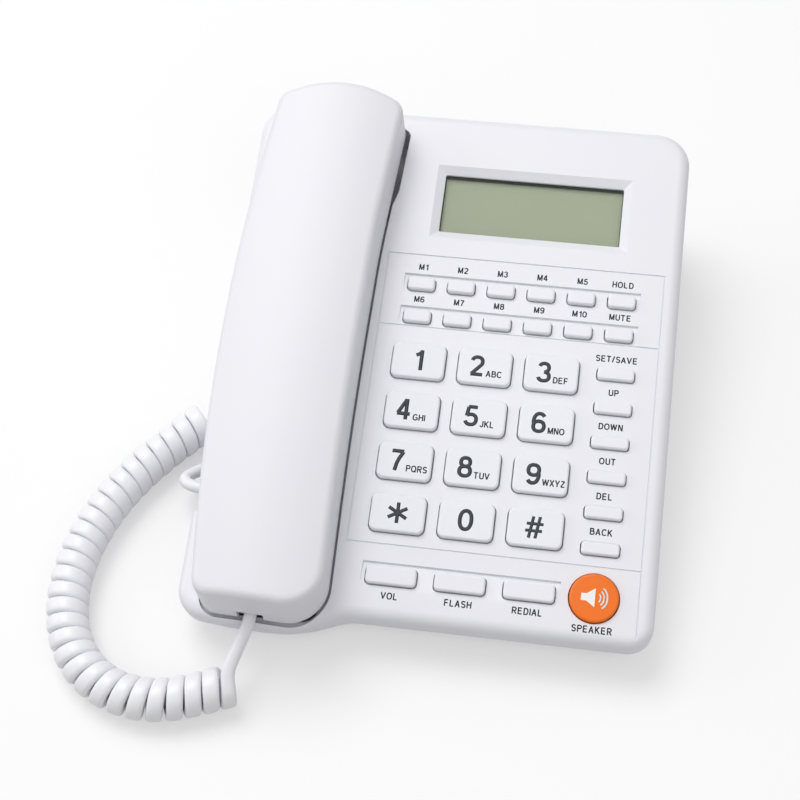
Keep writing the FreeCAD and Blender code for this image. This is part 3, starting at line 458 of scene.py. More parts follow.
@dataclass(frozen=True)
class Ink(Finish):
    """Printed ink, a little uneven in tone."""

    relief: float = 0.004 * MM
    cloud: float = 0.5 * MM

    def dress(self, graph: Graph) -> None:
        """Fill in the shader.

        Args:
            graph: The material's nodes.
        """
        worn = graph.noise(self.cloud, 3.0)
        graph.set(Base_Color=graph.mix(worn, self.colour, self.shade),
                  Roughness=graph.spread(worn, *self.gloss))
        graph.bump(worn, self.relief)


WHITE = Finish("housing", srgb(239, 239, 244), srgb(237, 237, 243))
HANDSET_WHITE = Finish("handset", srgb(235, 235, 240), srgb(233, 233, 239), gloss=(0.36, 0.44))
KEY_WHITE = Finish("dial_key", srgb(241, 242, 247), srgb(239, 240, 246), gloss=(0.36, 0.46))
INK = Ink("ink", srgb(52, 60, 68), srgb(60, 68, 76), gloss=(0.45, 0.55))
DARK_INK = Ink("dark_ink", srgb(24, 28, 34), srgb(30, 34, 40), gloss=(0.45, 0.55))
WHITE_INK = Ink("white_ink", srgb(250, 248, 244), srgb(246, 244, 240), gloss=(0.4, 0.5))
# Dark border of the liquid crystal panel. It is also laid where the bezel's wall shades the panel,
# so it paints that shade.
MASK_AND_PAINTED_SHADE = Ink("display_mask_and_painted_shade", srgb(44, 47, 44), srgb(52, 56, 52), gloss=(0.5, 0.6),
           relief=0.003 * MM)
ORANGE = Finish("orange_key", srgb(250, 120, 8), srgb(248, 115, 6), gloss=(0.34, 0.42),
                relief=0.004 * MM)

FINISHES: dict[str, Finish] = {finish.name: finish for finish in (
    WHITE, HANDSET_WHITE, KEY_WHITE, ORANGE,
    Finish("small_key", srgb(241, 241, 246), srgb(239, 239, 245), gloss=(0.34, 0.44)),
    Clear("window", srgb(238, 242, 236), srgb(238, 242, 236), gloss=(0.04, 0.07), body=0.03),
    Screen("panel", srgb(156, 166, 137), srgb(152, 162, 134), gloss=(0.4, 0.5), relief=0.002 * MM),
    Rubber("mat_rubber", srgb(176, 176, 172), srgb(190, 190, 186), gloss=(0.6, 0.75),
           grain=0.6 * MM, relief=0.02 * MM),
    Laminate("board", srgb(22, 92, 52), srgb(40, 122, 66), gloss=(0.28, 0.4)),
    Metal("spring_steel", srgb(176, 178, 182), srgb(160, 162, 168), gloss=(0.22, 0.34),
          grain=0.4 * MM, relief=0.002 * MM),
    Finish("plunger", srgb(228, 228, 226), srgb(222, 222, 220), gloss=(0.3, 0.4)),
    Metal("speaker_metal", srgb(120, 122, 126), srgb(92, 94, 98), gloss=(0.3, 0.5),
          grain=0.5 * MM, relief=0.006 * MM),
    Metal("cell_can", srgb(170, 172, 178), srgb(150, 152, 158), gloss=(0.22, 0.36),
          grain=0.5 * MM, relief=0.004 * MM, lines=(6.0, 1.0, 6.0)),
    Rubber("foot_rubber", srgb(62, 63, 66), srgb(78, 79, 82), gloss=(0.7, 0.85),
           grain=0.5 * MM, relief=0.04 * MM),
    Metal("screw_steel", srgb(164, 166, 168), srgb(138, 140, 144), gloss=(0.25, 0.4),
          grain=0.4 * MM, relief=0.004 * MM, lines=(1.0, 1.0, 1.0)),
    Finish("jack_plastic", srgb(58, 59, 62), srgb(66, 67, 70), gloss=(0.4, 0.5)),
    Clear("plug_plastic", srgb(232, 236, 240), srgb(232, 236, 240), gloss=(0.08, 0.14), body=0.42),
    Finish("cord", srgb(245, 245, 249), srgb(243, 243, 247), gloss=(0.3, 0.38), grain=0.3 * MM,
           relief=0.004 * MM),
    Metal("capsule", srgb(168, 166, 160), srgb(140, 138, 132), gloss=(0.28, 0.44),
          grain=0.5 * MM, relief=0.004 * MM),
)}


class Bench:
    """Modelling bench: Blender's operators, used on one piece at a time.

    Attributes:
        face_weight: How strongly the larger faces turn the shading their way.
    """

    face_weight = 60

    @staticmethod
    def only(piece: bpy.types.Object) -> None:
        """Select one piece and nothing else.

        Args:
            piece: The piece.
        """
        bpy.ops.object.select_all(action="DESELECT")
        piece.select_set(True)
        bpy.context.view_layer.objects.active = piece

    @classmethod
    @contextmanager
    def editing(cls, piece: bpy.types.Object) -> Iterator[bmesh.types.BMesh]:
        """Edit mode on one piece with nothing selected.

        Args:
            piece: The piece to edit.

        Yields:
            Its mesh in edit mode.
        """
        cls.only(piece)
        bpy.ops.object.mode_set(mode="EDIT")
        bpy.ops.mesh.select_mode(type="FACE")
        bpy.ops.mesh.select_all(action="DESELECT")
        yield bmesh.from_edit_mesh(piece.data)
        bpy.ops.object.mode_set(mode="OBJECT")

    @staticmethod
    def pick(mesh: bmesh.types.BMesh, test: Callable[[bmesh.types.BMFace], bool]) -> None:
        """Select the faces that pass a test, and no others.

        Args:
            mesh: The mesh in edit mode.
            test: Whether a face is wanted.
        """
        bpy.ops.mesh.select_all(action="DESELECT")
        for face in mesh.faces:
            if test(face):
                face.select = True
        mesh.select_flush(True)

    @classmethod
    def modify(cls, piece: bpy.types.Object, kind: str, **settings: object) -> None:
        """Add a modifier, set it and apply it.

        Args:
            piece: The piece that it works on.
            kind: The modifier's type.
            settings: Its properties.
        """
        cls.only(piece)
        modifier = piece.modifiers.new(kind.title(), kind)
        for name, setting in settings.items():
            setattr(modifier, name, setting)
        bpy.ops.object.modifier_apply(modifier=modifier.name)

    @classmethod
    def smooth(cls, piece: bpy.types.Object, angle: float = 30.0) -> None:
        """Shade smooth up to an angle, with the larger faces kept true.

        Args:
            piece: The piece.
            angle: Sharpest angle that is shaded smooth, in degrees.
        """
        cls.only(piece)
        bpy.ops.object.shade_smooth_by_angle(angle=math.radians(angle))
        cls.modify(piece, "WEIGHTED_NORMAL", keep_sharp=True, weight=cls.face_weight)

    @staticmethod
    def finish(piece: bpy.types.Object, name: str, finish: Finish, body: str) -> None:
        """Name a piece, give it its finish, put it on its body and report it.

        Args:
            piece: The piece.
            name: Its name.
            finish: Its finish.
            body: The body that carries it.
        """
        piece.name = name
        piece.data.name = name
        piece.data.materials.clear()
        piece.data.materials.append(finish.material())
        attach(piece, body)
        report(piece)

    @staticmethod
    def settle(piece: bpy.types.Object, place: Matrix) -> None:
        """Move a mesh to its place, with the object left at the origin.

        Args:
            piece: The mesh's object.
            place: Frame that it moves into.
        """
        piece.data.transform(place @ piece.matrix_basis)
        piece.matrix_basis = Matrix.Identity(4)
        piece.data.update()


class Moulding:
    """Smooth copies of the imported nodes, each with its finish.

    Attributes:
        weld: Distance within which loose points become one.
        body: The body that carries each node.
        slot: The material slot of each node.
    """

    weld = 0.002 * MM

    def __init__(self) -> None:
        """Read which body and which material slot each node has."""
        self.body: dict[str, str] = {}
        for body, nodes in frame["record"]["behaviour"]["bodies"].items():
            for node in nodes:
                self.body[node] = body
        self.slot = {entry["node"]: entry["material_slot"] for entry in frame["record"]["subparts"]}

    def smooth(self, node: str, angle: float = 30.0) -> bpy.types.Object:
        """Stand a smooth-shaded copy in for a node.

        Args:
            node: The node's name.
            angle: Sharpest angle that is shaded smooth, in degrees.

        Returns:
            The copy.
        """
        piece = bpy.data.objects.new(node + "_moulded", frame["nodes"][node].data.copy())
        bpy.context.scene.collection.objects.link(piece)
        with Bench.editing(piece):
            bpy.ops.mesh.customdata_custom_splitnormals_clear()
            bpy.ops.mesh.select_all(action="SELECT")
            bpy.ops.mesh.remove_doubles(threshold=self.weld)
        Bench.smooth(piece, angle)
        Bench.finish(piece, node + "_moulded", FINISHES[self.slot[node]], self.body[node])
        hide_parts(node)
        return piece

    def plain(self, node: str) -> None:
        """Give its finish to a node that shows its own mesh.

        Args:
            node: The node's name.
        """
        piece = frame["nodes"][node]
        piece.data.materials.clear()
        piece.data.materials.append(FINISHES[self.slot[node]].material())
        report(piece)


@dataclass
class Camera:
    """Camera at the picture's viewing angle. Its place, lens and sensor are in mm."""

    place: Spot = (44.25, -308.3, 492.2)
    forward: Spot = (-0.10555, 0.53712, -0.83688)
    right: Spot = (0.9895, 0.1400, -0.0349)
    lens: float = 72.3
    sensor: float = 36.0
    clip: Flat = (0.01, 20.0)

    def build(self) -> None:
        """Set up the camera and make it the scene's."""
        data = bpy.data.cameras.new("camera")
        data.lens, data.sensor_width = self.lens, self.sensor
        data.clip_start, data.clip_end = self.clip
        camera = bpy.data.objects.new("camera", data)
        bpy.context.scene.collection.objects.link(camera)
        back = -Vector(self.forward).normalized()
        right = Vector(self.right)
        right = (right - back * right.dot(back)).normalized()
        turn = Matrix((right, back.cross(right), back)).transposed()
        camera.matrix_world = Matrix.Translation(metres(*self.place)) @ turn.to_4x4()
        bpy.context.scene.camera = camera


@dataclass
class Lamp:
    """Soft square lamp aimed at the origin: name, place and side in mm, power in watts."""

    name: str
    place: Spot
    side: float
    power: float

    def build(self) -> None:
        """Hang the lamp."""
        data = bpy.data.lights.new(self.name, "AREA")
        data.energy, data.size = self.power, self.side * MM
        lamp = bpy.data.objects.new(self.name, data)
        bpy.context.scene.collection.objects.link(lamp)
        lamp.location = metres(*self.place)
        lamp.rotation_euler = (-lamp.location).to_track_quat("-Z", "Y").to_euler()


@dataclass
class Studio:
    """Pale floor, pale surroundings and soft lamps.

    Attributes:
        floor_side: Side of the floor.
        floor_drop: How far it lies under the feet.
        floor_tone: Its tone where it is seen.
        floor_bounce: Share of that tone that it lights the telephone with.
        floor_share: Share of plain white in the floor where it is seen.
        sky: Strength of the light from all round.
        lamps: The lamps.
    """

    floor_side: float = 6.0
    floor_drop: float = 0.00005
    floor_tone: float = 0.97
    floor_bounce: float = 0.5
    floor_share: float = 0.42
    sky: float = 0.56
    lamps: tuple[Lamp, ...] = (
        Lamp("key_lamp", (-620.0, 620.0, 1780.0), 1200.0, 19.5),
        Lamp("side_lamp", (-1500.0, 100.0, 700.0), 900.0, 4.4),
        Lamp("fill_lamp", (500.0, -700.0, 900.0), 900.0, 1.8),
    )

    def build(self) -> None:
        """Set out the floor, the surroundings and the lamps."""
        bpy.context.scene.view_settings.view_transform = "Standard"
        bpy.ops.object.select_all(action="DESELECT")
        bpy.ops.mesh.primitive_plane_add(
            size=self.floor_side, location=(0.0, 0.0, -self.floor_drop))
        floor = bpy.context.active_object
        floor.name = "floor"
        floor.data.materials.append(self.floor_paper())
        report(floor)
        self.surroundings()
        for lamp in self.lamps:
            lamp.build()

    @staticmethod
    def seen(graph: Graph) -> Value:
        """One for the rays that show the background: straight, mirrored or through glass.

        Args:
            graph: The material's nodes.

        Returns:
            One for those rays, and nought for the rays that light the telephone.
        """
        path = graph.add("ShaderNodeLightPath")
        rays = [Value(graph, path.outputs[name]) for name in
                ("Is Camera Ray", "Is Glossy Ray", "Is Transmission Ray")]
        return (rays[0] + rays[1] + rays[2]) > 0.5

    def floor_paper(self) -> bpy.types.Material:
        """White paper that keeps the shadow, glows where it is seen and lights the sides less.

        Returns:
            The floor's material.
        """
        graph = Graph("floor_paper")
        tone, dim = self.floor_tone, self.floor_tone * self.floor_bounce
        seen = self.seen(graph)
        fibre = graph.noise(60.0 * MM, 3.0)
        paper = graph.mix(fibre, (tone, tone, tone), (tone, tone, tone * 1.01))
        graph.set(Base_Color=graph.mix(seen, (dim, dim, dim), paper), Roughness=0.9)
        glow = graph.add("ShaderNodeEmission", {}, {"Color": (1.0, 1.0, 1.0), "Strength": 1.0})
        mixed = graph.add("ShaderNodeMixShader", {}, {
            0: seen * self.floor_share, 1: graph.shader.outputs[0], 2: glow.outputs[0]})
        graph.feed(graph.output.inputs["Surface"], mixed.outputs[0])
        return graph.material

    def surroundings(self) -> None:
        """Paler to the camera than the level that lights the telephone."""
        world = bpy.data.worlds.new("surroundings")
        bpy.context.scene.world = world
        sheet = Sheet(world)
        path = sheet.add("ShaderNodeLightPath")
        level = sheet.add("ShaderNodeMix", {"data_type": "FLOAT"}, {
            0: path.outputs["Is Camera Ray"], 2: self.sky, 3: 1.0})
        back = sheet.add("ShaderNodeBackground", {}, {"Strength": level.outputs[0]})
        sheet.add("ShaderNodeOutputWorld", {}, {"Surface": back.outputs["Background"]})


@dataclass
class Ring:
    """One ring of the cord: its centre, its two directions, its half sizes and how square it is."""

    centre: Vector
    along: Vector
    side: Vector
    half_side: float
    half_other: float
    square: float


@dataclass
class HandsetCord:
    """Curly cord from the handset's jack to the bay in the left side. Sizes are in mm.

    Attributes:
        wire: Thickness of the wire.
        helix: Radius of the turns, at the middle of the wire.
        lift: Height of the coil's axis above the table.
        turns: Number of whole turns.
        start_angle: Where on the coil the first turn starts, in degrees.
        points_per_turn: Control points in a turn.
        widest: Greatest half width of the wire along the coil.
        turn_gap: Half the gap that is left between turns.
        slack: How far past the turns' radius the wire still counts as coiled.
        ring_points: Points round the wire.
        least_step: Shortest step kept along a curve.
        axis_steps: Steps for each control point of the axis.
        route_steps: Steps for each control point of the wire.
        heading_reach: Points of the axis, to each side, that give its heading.
        ease_reach: Rings, to each side, that a ring's form is eased over.
        flatness: How much squarer than round the wire is in the turns.
        smooth_angle: Sharpest angle shaded smooth, in degrees.
        leave_run: Straight run where the wire leaves the first turn.
        straight: Further control points between the handset's bend and that run, as shares.
        enter_run: Straight run where the wire leaves the last turn.
        nudge: Share of a step over which the ends' directions are taken.
        still: Place on the cord that stays where it is when the handset lifts. It is not used.
        carried: Place on the cord that goes all the way with the handset. It is not used.
        axis: Control points of the coil's axis, seen from above.
        handset_run: Lead at the handset, on the deck's frame.
        base_run: Lead at the base.
    """

    wire: float = 4.2
    helix: float = 5.0
    lift: float = 7.2
    turns: int = 28
    start_angle: float = 60.0
    points_per_turn: int = 16
    widest: float = 2.68
    turn_gap: float = 0.05
    slack: float = 0.6
    ring_points: int = 24
    least_step: float = 0.1
    axis_steps: int = 64
    route_steps: int = 4
    heading_reach: int = 12
    ease_reach: int = 12
    flatness: float = 0.45
    smooth_angle: float = 50.0
    leave_run: float = 5.0
    straight: tuple[float, ...] = (0.35, 0.65)
    enter_run: float = 12.6
    nudge: float = 0.02
    still: Spot = (-110.0, -80.0, 6.0)
    carried: Spot = (-84.56, -113.92, 27.2)
    axis: tuple[Flat, ...] = (
        (-56.8, -113.2), (-71.2, -119.8), (-84.6, -121.7), (-96.5, -119.0), (-106.5, -112.2),
        (-113.6, -101.6), (-117.2, -88.4), (-117.3, -73.6), (-114.2, -58.8), (-108.5, -45.2),
        (-101.2, -33.3), (-93.2, -23.2), (-85.4, -14.4))
    handset_run: tuple[Spot, ...] = ((-51.5, -74.9, 2.6), (-51.5, -78.6, 2.6))
    base_run: tuple[Spot, ...] = (
        (-78.9, -29.4, 3.4), (-87.3, -39.6, 10.2), (-84.6, -43.9, 12.7), (-77.6, -45.2, 13.0),
        (-70.0, -45.2, 13.0))

    @staticmethod
    def spline(name: str, points: list[Vector], steps: int) -> bpy.types.Object:
        """Smooth curve with the points as its control points.

        Args:
            name: Name of the curve.
            points: Control points.
            steps: Steps per control point when it is read.

        Returns:
            The curve.
        """
        data = bpy.data.curves.new(name, "CURVE")
        data.dimensions = "3D"
        data.resolution_u = steps
        run = data.splines.new("NURBS")
        run.points.add(len(points) - 1)
        for held, point in zip(run.points, points):
            held.co = (*point, 1.0)
        run.order_u = 3
        run.use_endpoint_u = True
        curve = bpy.data.objects.new(name, data)
        bpy.context.scene.collection.objects.link(curve)
        return curve

    @classmethod
    def read(cls, name: str, points: list[Vector], steps: int) -> list[Vector]:
        """Points along the smooth curve that the control points give.

        Args:
            name: Name of the curve.
            points: Control points.
            steps: Steps per control point.

        Returns:
            The points, none of them closer to the last than the least step.
        """
        curve = cls.spline(name, points, steps)
        bpy.context.view_layer.update()
        mesh = bpy.data.meshes.new_from_object(curve)
        line: list[Vector] = []
        for vertex in mesh.vertices:
            if not line or (vertex.co - line[-1]).length > cls.least_step * MM:
                line.append(vertex.co.copy())
        bpy.data.meshes.remove(mesh)
        bpy.data.objects.remove(curve)
        return line

    def axis_points(self) -> list[Vector]:
        """Closely spaced points of the coil's axis."""
        points = [metres(x, y, self.lift) for x, y in self.axis]
        return self.read("coil_axis", points, self.axis_steps)

    def helix_at(self, share: float, axis: list[Vector], run: list[float], radius: float) -> Vector:
        """Point of the turns.

        Args:
            share: Share of the way along the coil, which may run a little past its ends.
            axis: Points of the coil's axis.
            run: Length of the axis up to each of them.
            radius: Distance from the axis in mm.

        Returns:
            The point, in metres.
        """
        travelled = run[-1] * share
        at = min(max(bisect.bisect_right(run, travelled) - 1, 0), len(run) - 2)
        part = (travelled - run[at]) / (run[at + 1] - run[at])
        along = (axis[at + 1] - axis[at]).normalized()
        left = Vector((-along.y, along.x, 0.0))
        angle = math.radians(self.start_angle - self.wound() * share)
        round_axis = left * math.cos(angle) + Vector((0.0, 0.0, math.sin(angle)))
        return axis[at] + (axis[at + 1] - axis[at]) * part + round_axis * radius * MM

    def wound(self) -> float:
        """Angle that the wire winds through, in degrees. It ends under the axis."""
        return 360.0 * self.turns + self.start_angle + 90.0

    def route(self, axis: list[Vector]) -> list[Vector]:
        """Control points of the whole cord, from the handset's plug to the base's.

        Args:
            axis: Points of the coil's axis.

        Returns:
            The control points. Those of the turns lie a little outside the coil, so that their
            smooth curve has its radius.
        """
        run = [0.0]
        for before, after in zip(axis, axis[1:]):
            run.append(run[-1] + (after - before).length)
        count = round(self.wound() / 360.0 * self.points_per_turn)
        outer = self.helix / math.cos(math.pi / self.points_per_turn)
        turns = [self.helix_at(i / count, axis, run, outer) for i in range(1, count)]
        first, last = (self.helix_at(share, axis, run, self.helix) for share in (0.0, 1.0))
        step = self.nudge / count
        leave = (first - self.helix_at(step, axis, run, self.helix)).normalized()
        enter = (last - self.helix_at(1.0 - step, axis, run, self.helix)).normalized()
        points = [DECK.point(*spot) for spot in self.handset_run]
        bent, over = points[-1], first + leave * self.leave_run * MM
        points += [bent.lerp(over, share) for share in self.straight] + [over, first]
        points += turns
        points += [last, last + enter * self.enter_run * MM]
        points += [metres(*spot) for spot in self.base_run]
        return points

    def rings(self, line: list[Vector], axis: list[Vector]) -> list[Ring]:
        """Rings of the wire: a flat ribbon in the turns, round in the leads.

        Args:
            line: Points that the wire follows.
            axis: Points of the coil's axis.

        Returns:
            One ring for each point.
        """
        tree = KDTree(len(axis))
        for i, point in enumerate(axis):
            tree.insert(point, i)
        tree.balance()
        length = sum((b - a).length for a, b in zip(axis, axis[1:]))
        pitch = length / (self.turns + (self.start_angle + 90.0) / 360.0)
        plain = self.wire / 2 * MM
        rings: list[Ring] = []
        coiled: list[bool] = []
        for i, point in enumerate(line):
            along = (line[min(i + 1, len(line) - 1)] - line[max(i - 1, 0)]).normalized()
            _, near, distance = tree.find(point)
            low = max(near - self.heading_reach, 0)
            high = min(near + self.heading_reach, len(axis) - 1)
            heading = (axis[high] - axis[low]).normalized()
            middle = axis[near]
            bend = (axis[high] - middle).normalized() - (middle - axis[low]).normalized()
            bend /= (axis[high] - axis[low]).length / 2
            room = pitch * (1.0 - (point - middle).dot(bend)) / 2 - self.turn_gap * MM
            inside = 0 < near < len(axis) - 1 and distance < (self.helix + self.slack) * MM
            half = min(self.widest * MM, max(room, plain)) if inside else plain
            rings.append(Ring(point, along, heading, half, plain, float(inside)))
            coiled.append(inside)
        first, last = coiled.index(True), len(coiled) - 1 - coiled[::-1].index(True)
        # Each lead carries on the direction of the turn that it leaves, kept square to the wire.
        for i in range(first - 1, -1, -1):
            rings[i].side = rings[i + 1].side
        for i in range(len(rings)):
            if i > last:
                rings[i].side = rings[i - 1].side
            ring = rings[i]
            ring.side = (ring.side - ring.along * ring.side.dot(ring.along)).normalized()
        for i in range(first - 1, -1, -1):
            turned = rings[i + 1].side
            rings[i].side = (turned - rings[i].along * turned.dot(rings[i].along)).normalized()
        self.ease(rings)
        return rings

    def ease(self, rings: list[Ring]) -> None:
        """Let the ribbon grow and fade smoothly along the wire.

        Args:
            rings: The wire's rings.
        """
        forms = [(ring.half_side, ring.square) for ring in rings]
        for i, ring in enumerate(rings):
            near = forms[max(i - self.ease_reach, 0):i + self.ease_reach + 1]
            ring.half_side, ring.square = (sum(form) / len(near) for form in zip(*near))

    def tube(self, rings: list[Ring]) -> bpy.types.Object:
        """Closed tube through the rings.

        Args:
            rings: The wire's rings.

        Returns:
            The cord, without its finish.
        """
        points, faces = [], []
        count = self.ring_points
        for ring in rings:
            other = ring.along.cross(ring.side)
            power = 1.0 - self.flatness * ring.square
            for k in range(count):
                angle = 2 * math.pi * k / count
                across, up = (math.copysign(abs(share) ** power, share)
                              for share in (math.cos(angle), math.sin(angle)))
                points.append(ring.centre + ring.side * ring.half_side * across
                              + other * ring.half_other * up)
        for i in range(len(rings) - 1):
            for k in range(count):
                a, b = i * count + k, i * count + (k + 1) % count
                faces.append((a, b, b + count, a + count))
        faces.append(tuple(reversed(range(count))))
        faces.append(tuple(range((len(rings) - 1) * count, len(rings) * count)))
        mesh = bpy.data.meshes.new("handset_cord")
        mesh.from_pydata(points, [], faces)
        piece = bpy.data.objects.new("handset_cord", mesh)
        bpy.context.scene.collection.objects.link(piece)
        Bench.only(piece)
        bpy.ops.object.shade_smooth_by_angle(angle=math.radians(self.smooth_angle))
        return piece

    def build(self, plugs: list[bpy.types.Object]) -> None:
        """Args:
            plugs: The plugs and the pieces on them. Not used.
        """
        axis = self.axis_points()
        line = self.read("cord_route", self.route(axis), self.route_steps)
        piece = self.tube(self.rings(line, axis))
        piece.data.materials.append(FINISHES["cord"].material())
        length = sum((b - a).length for a, b in zip(line, line[1:]))
        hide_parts("curly_cord", "cord_lead_handset", "cord_lead_base")
        metres(*self.still)
        metres(*self.carried)
        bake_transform(piece)
        tuple(line[0])
        [tuple(p) for p in line]
        report(piece)
        LOG.info("length of the handset cord: %.0f mm", length / MM)


Stroke = tuple[tuple[float, ...], ...]

ARC_STEP = 14.0
FEWEST_STEPS = 6
ROUNDNESS = 0.88
SAME_POINT = 1e-4

STEM: Stroke = ((0.10, 0.0), (0.10, 1.0))
BOWL: Stroke = (
    (0.10, 0.93), (0.37, 0.93), (0.37, 0.70, 0.23, 0.23, 90, -90), (0.37, 0.47), (0.10, 0.47))
GLYPHS: dict[str, tuple[Stroke, ...]] = {
    "0": (((0.33, 0.5, 0.255, 0.425, 0, 360),),),
    "1": (((0.385, 0.0), (0.385, 1.0)), ((0.385, 0.93), (0.30, 0.82), (0.13, 0.735))),
    "2": (((0.325, 0.70, 0.235, 0.225, 170, -35), (0.09, 0.08)), ((0.06, 0.075), (0.60, 0.075))),
    "3": (((0.30, 0.715, 0.21, 0.21, 165, -90),), ((0.30, 0.29, 0.245, 0.215, 90, -170),)),
    "4": (((0.44, 0.0), (0.44, 1.0)), ((0.42, 0.97), (0.07, 0.30)), ((0.03, 0.28), (0.62, 0.28))),
    "5": (((0.17, 0.925), (0.58, 0.925)), ((0.19, 0.925), (0.12, 0.48)),
          ((0.315, 0.32, 0.245, 0.245, 140, -165),)),
    "6": (((0.325, 0.315, 0.24, 0.24, 0, 360),), ((0.345, 0.5, 0.265, 0.425, 40, 185),)),
    "7": (((0.06, 0.925), (0.59, 0.925)),
          ((0.57, 0.90), (0.42, 0.62), (0.32, 0.36), (0.255, 0.0))),
    "8": (((0.325, 0.725, 0.205, 0.20, 0, 360),), ((0.325, 0.30, 0.245, 0.225, 0, 360),)),
    "9": (((0.325, 0.685, 0.24, 0.24, 0, 360),), ((0.305, 0.5, 0.265, 0.425, 220, 365),)),
    "#": (((0.21, 0.0), (0.36, 1.0)), ((0.50, 0.0), (0.65, 1.0)),
          ((0.04, 0.34), (0.78, 0.34)), ((0.08, 0.66), (0.82, 0.66))),
    "A": (((0.05, 0.0), (0.345, 0.97), (0.645, 0.0)), ((0.17, 0.33), (0.52, 0.33))),
    "B": (STEM, ((0.10, 0.93), (0.36, 0.93), (0.36, 0.735, 0.195, 0.195, 90, -90), (0.10, 0.54)),
          ((0.10, 0.54), (0.40, 0.54), (0.40, 0.305, 0.235, 0.235, 90, -90), (0.10, 0.07))),
    "C": (((0.38, 0.5, 0.31, 0.43, 40, 320),),),
    "D": (STEM, ((0.10, 0.93), (0.33, 0.93), (0.33, 0.5, 0.30, 0.43, 90, -90), (0.10, 0.07))),
    "E": (STEM, ((0.10, 0.93), (0.60, 0.93)), ((0.10, 0.52), (0.56, 0.52)),
          ((0.10, 0.07), (0.62, 0.07))),
    "F": (STEM, ((0.10, 0.93), (0.58, 0.93)), ((0.10, 0.50), (0.52, 0.50))),
    "G": (((0.38, 0.5, 0.31, 0.43, 42, 330),), ((0.40, 0.46), (0.68, 0.46), (0.68, 0.14))),
    "H": (STEM, ((0.62, 0.0), (0.62, 1.0)), ((0.10, 0.52), (0.62, 0.52))),
    "I": (STEM,),
    "J": (((0.44, 1.0), (0.44, 0.28), (0.255, 0.25, 0.185, 0.18, 0, -180)),),
    "K": (STEM, ((0.60, 1.0), (0.14, 0.42)), ((0.27, 0.56), (0.64, 0.0))),
    "L": (STEM, ((0.10, 0.07), (0.56, 0.07))),
    "M": (STEM, ((0.73, 0.0), (0.73, 1.0)), ((0.11, 1.0), (0.415, 0.05), (0.72, 1.0))),
    "N": (STEM, ((0.61, 0.0), (0.61, 1.0)), ((0.12, 1.0), (0.59, 0.0))),
    "O": (((0.385, 0.5, 0.315, 0.43, 0, 360),),),
    "P": (STEM, BOWL),
    "Q": (((0.385, 0.5, 0.315, 0.43, 0, 360),), ((0.46, 0.24), (0.70, 0.0))),
    "R": (STEM, BOWL, ((0.38, 0.45), (0.62, 0.0))),
    "S": (((0.34, 0.725, 0.23, 0.205, 20, 270),), ((0.345, 0.29, 0.245, 0.225, 90, -160),)),
    "T": (((0.0, 0.93), (0.62, 0.93)), ((0.31, 0.0), (0.31, 0.93))),
    "U": (((0.10, 1.0), (0.10, 0.33), (0.355, 0.33, 0.255, 0.26, 180, 360), (0.61, 1.0)),),
    "V": (((0.04, 1.0), (0.345, 0.03), (0.65, 1.0)),),
    "W": (((0.04, 1.0), (0.25, 0.03), (0.47, 0.97), (0.69, 0.03), (0.90, 1.0)),),
    "X": (((0.05, 0.0), (0.60, 1.0)), ((0.05, 1.0), (0.60, 0.0))),
    "Y": (((0.04, 1.0), (0.33, 0.42), (0.62, 1.0)), ((0.33, 0.42), (0.33, 0.0))),
    "Z": (((0.06, 0.93), (0.56, 0.93), (0.05, 0.07), (0.60, 0.07)),),
    "/": (((0.03, 0.0), (0.30, 1.0)),),
}


def run_of(stroke: Stroke) -> Run:
    """Points of a stroke.

    Args:
        stroke: Points as pairs, and arcs as centre, half sizes, first angle and last angle.

    Returns:
        The points, with each arc taken in short steps.
    """
    points: Run = []
    for item in stroke:
        if len(item) == 2:
            points.append((item[0], item[1]))
            continue
        x, y, half_x, half_y, start, end = item
        steps = max(FEWEST_STEPS, round(abs(end - start) / ARC_STEP))
        for i in range(steps + 1):
            angle = math.radians(start + (end - start) * i / steps)
            across, up = math.cos(angle), math.sin(angle)
            points.append((x + half_x * math.copysign(abs(across) ** ROUNDNESS, across),
                           y + half_y * math.copysign(abs(up) ** ROUNDNESS, up)))
    return [point for i, point in enumerate(points)
            if i == 0 or math.dist(point, points[i - 1]) > SAME_POINT]


def cut_at_corners(run: Run, sharpest: float = 70.0) -> Iterator[Run]:
    """Parts of a run that turn nowhere by more than an angle, so that no corner grows a spike.

    Args:
        run: Points of the run.
        sharpest: Largest turn kept, in degrees.

    Yields:
        The parts, which meet at the corners.
    """
    start = 0
    for i in range(1, len(run) - 1):
        before = Vector(run[i]) - Vector(run[i - 1])
        after = Vector(run[i + 1]) - Vector(run[i])
        if before.angle(after) > math.radians(sharpest):
            yield run[start:i + 1]
            start = i
    yield run[start:]


class Align(Enum):
    """Which part of a word stands at its place."""

    LEFT = "left"
    CENTRE = "centre"


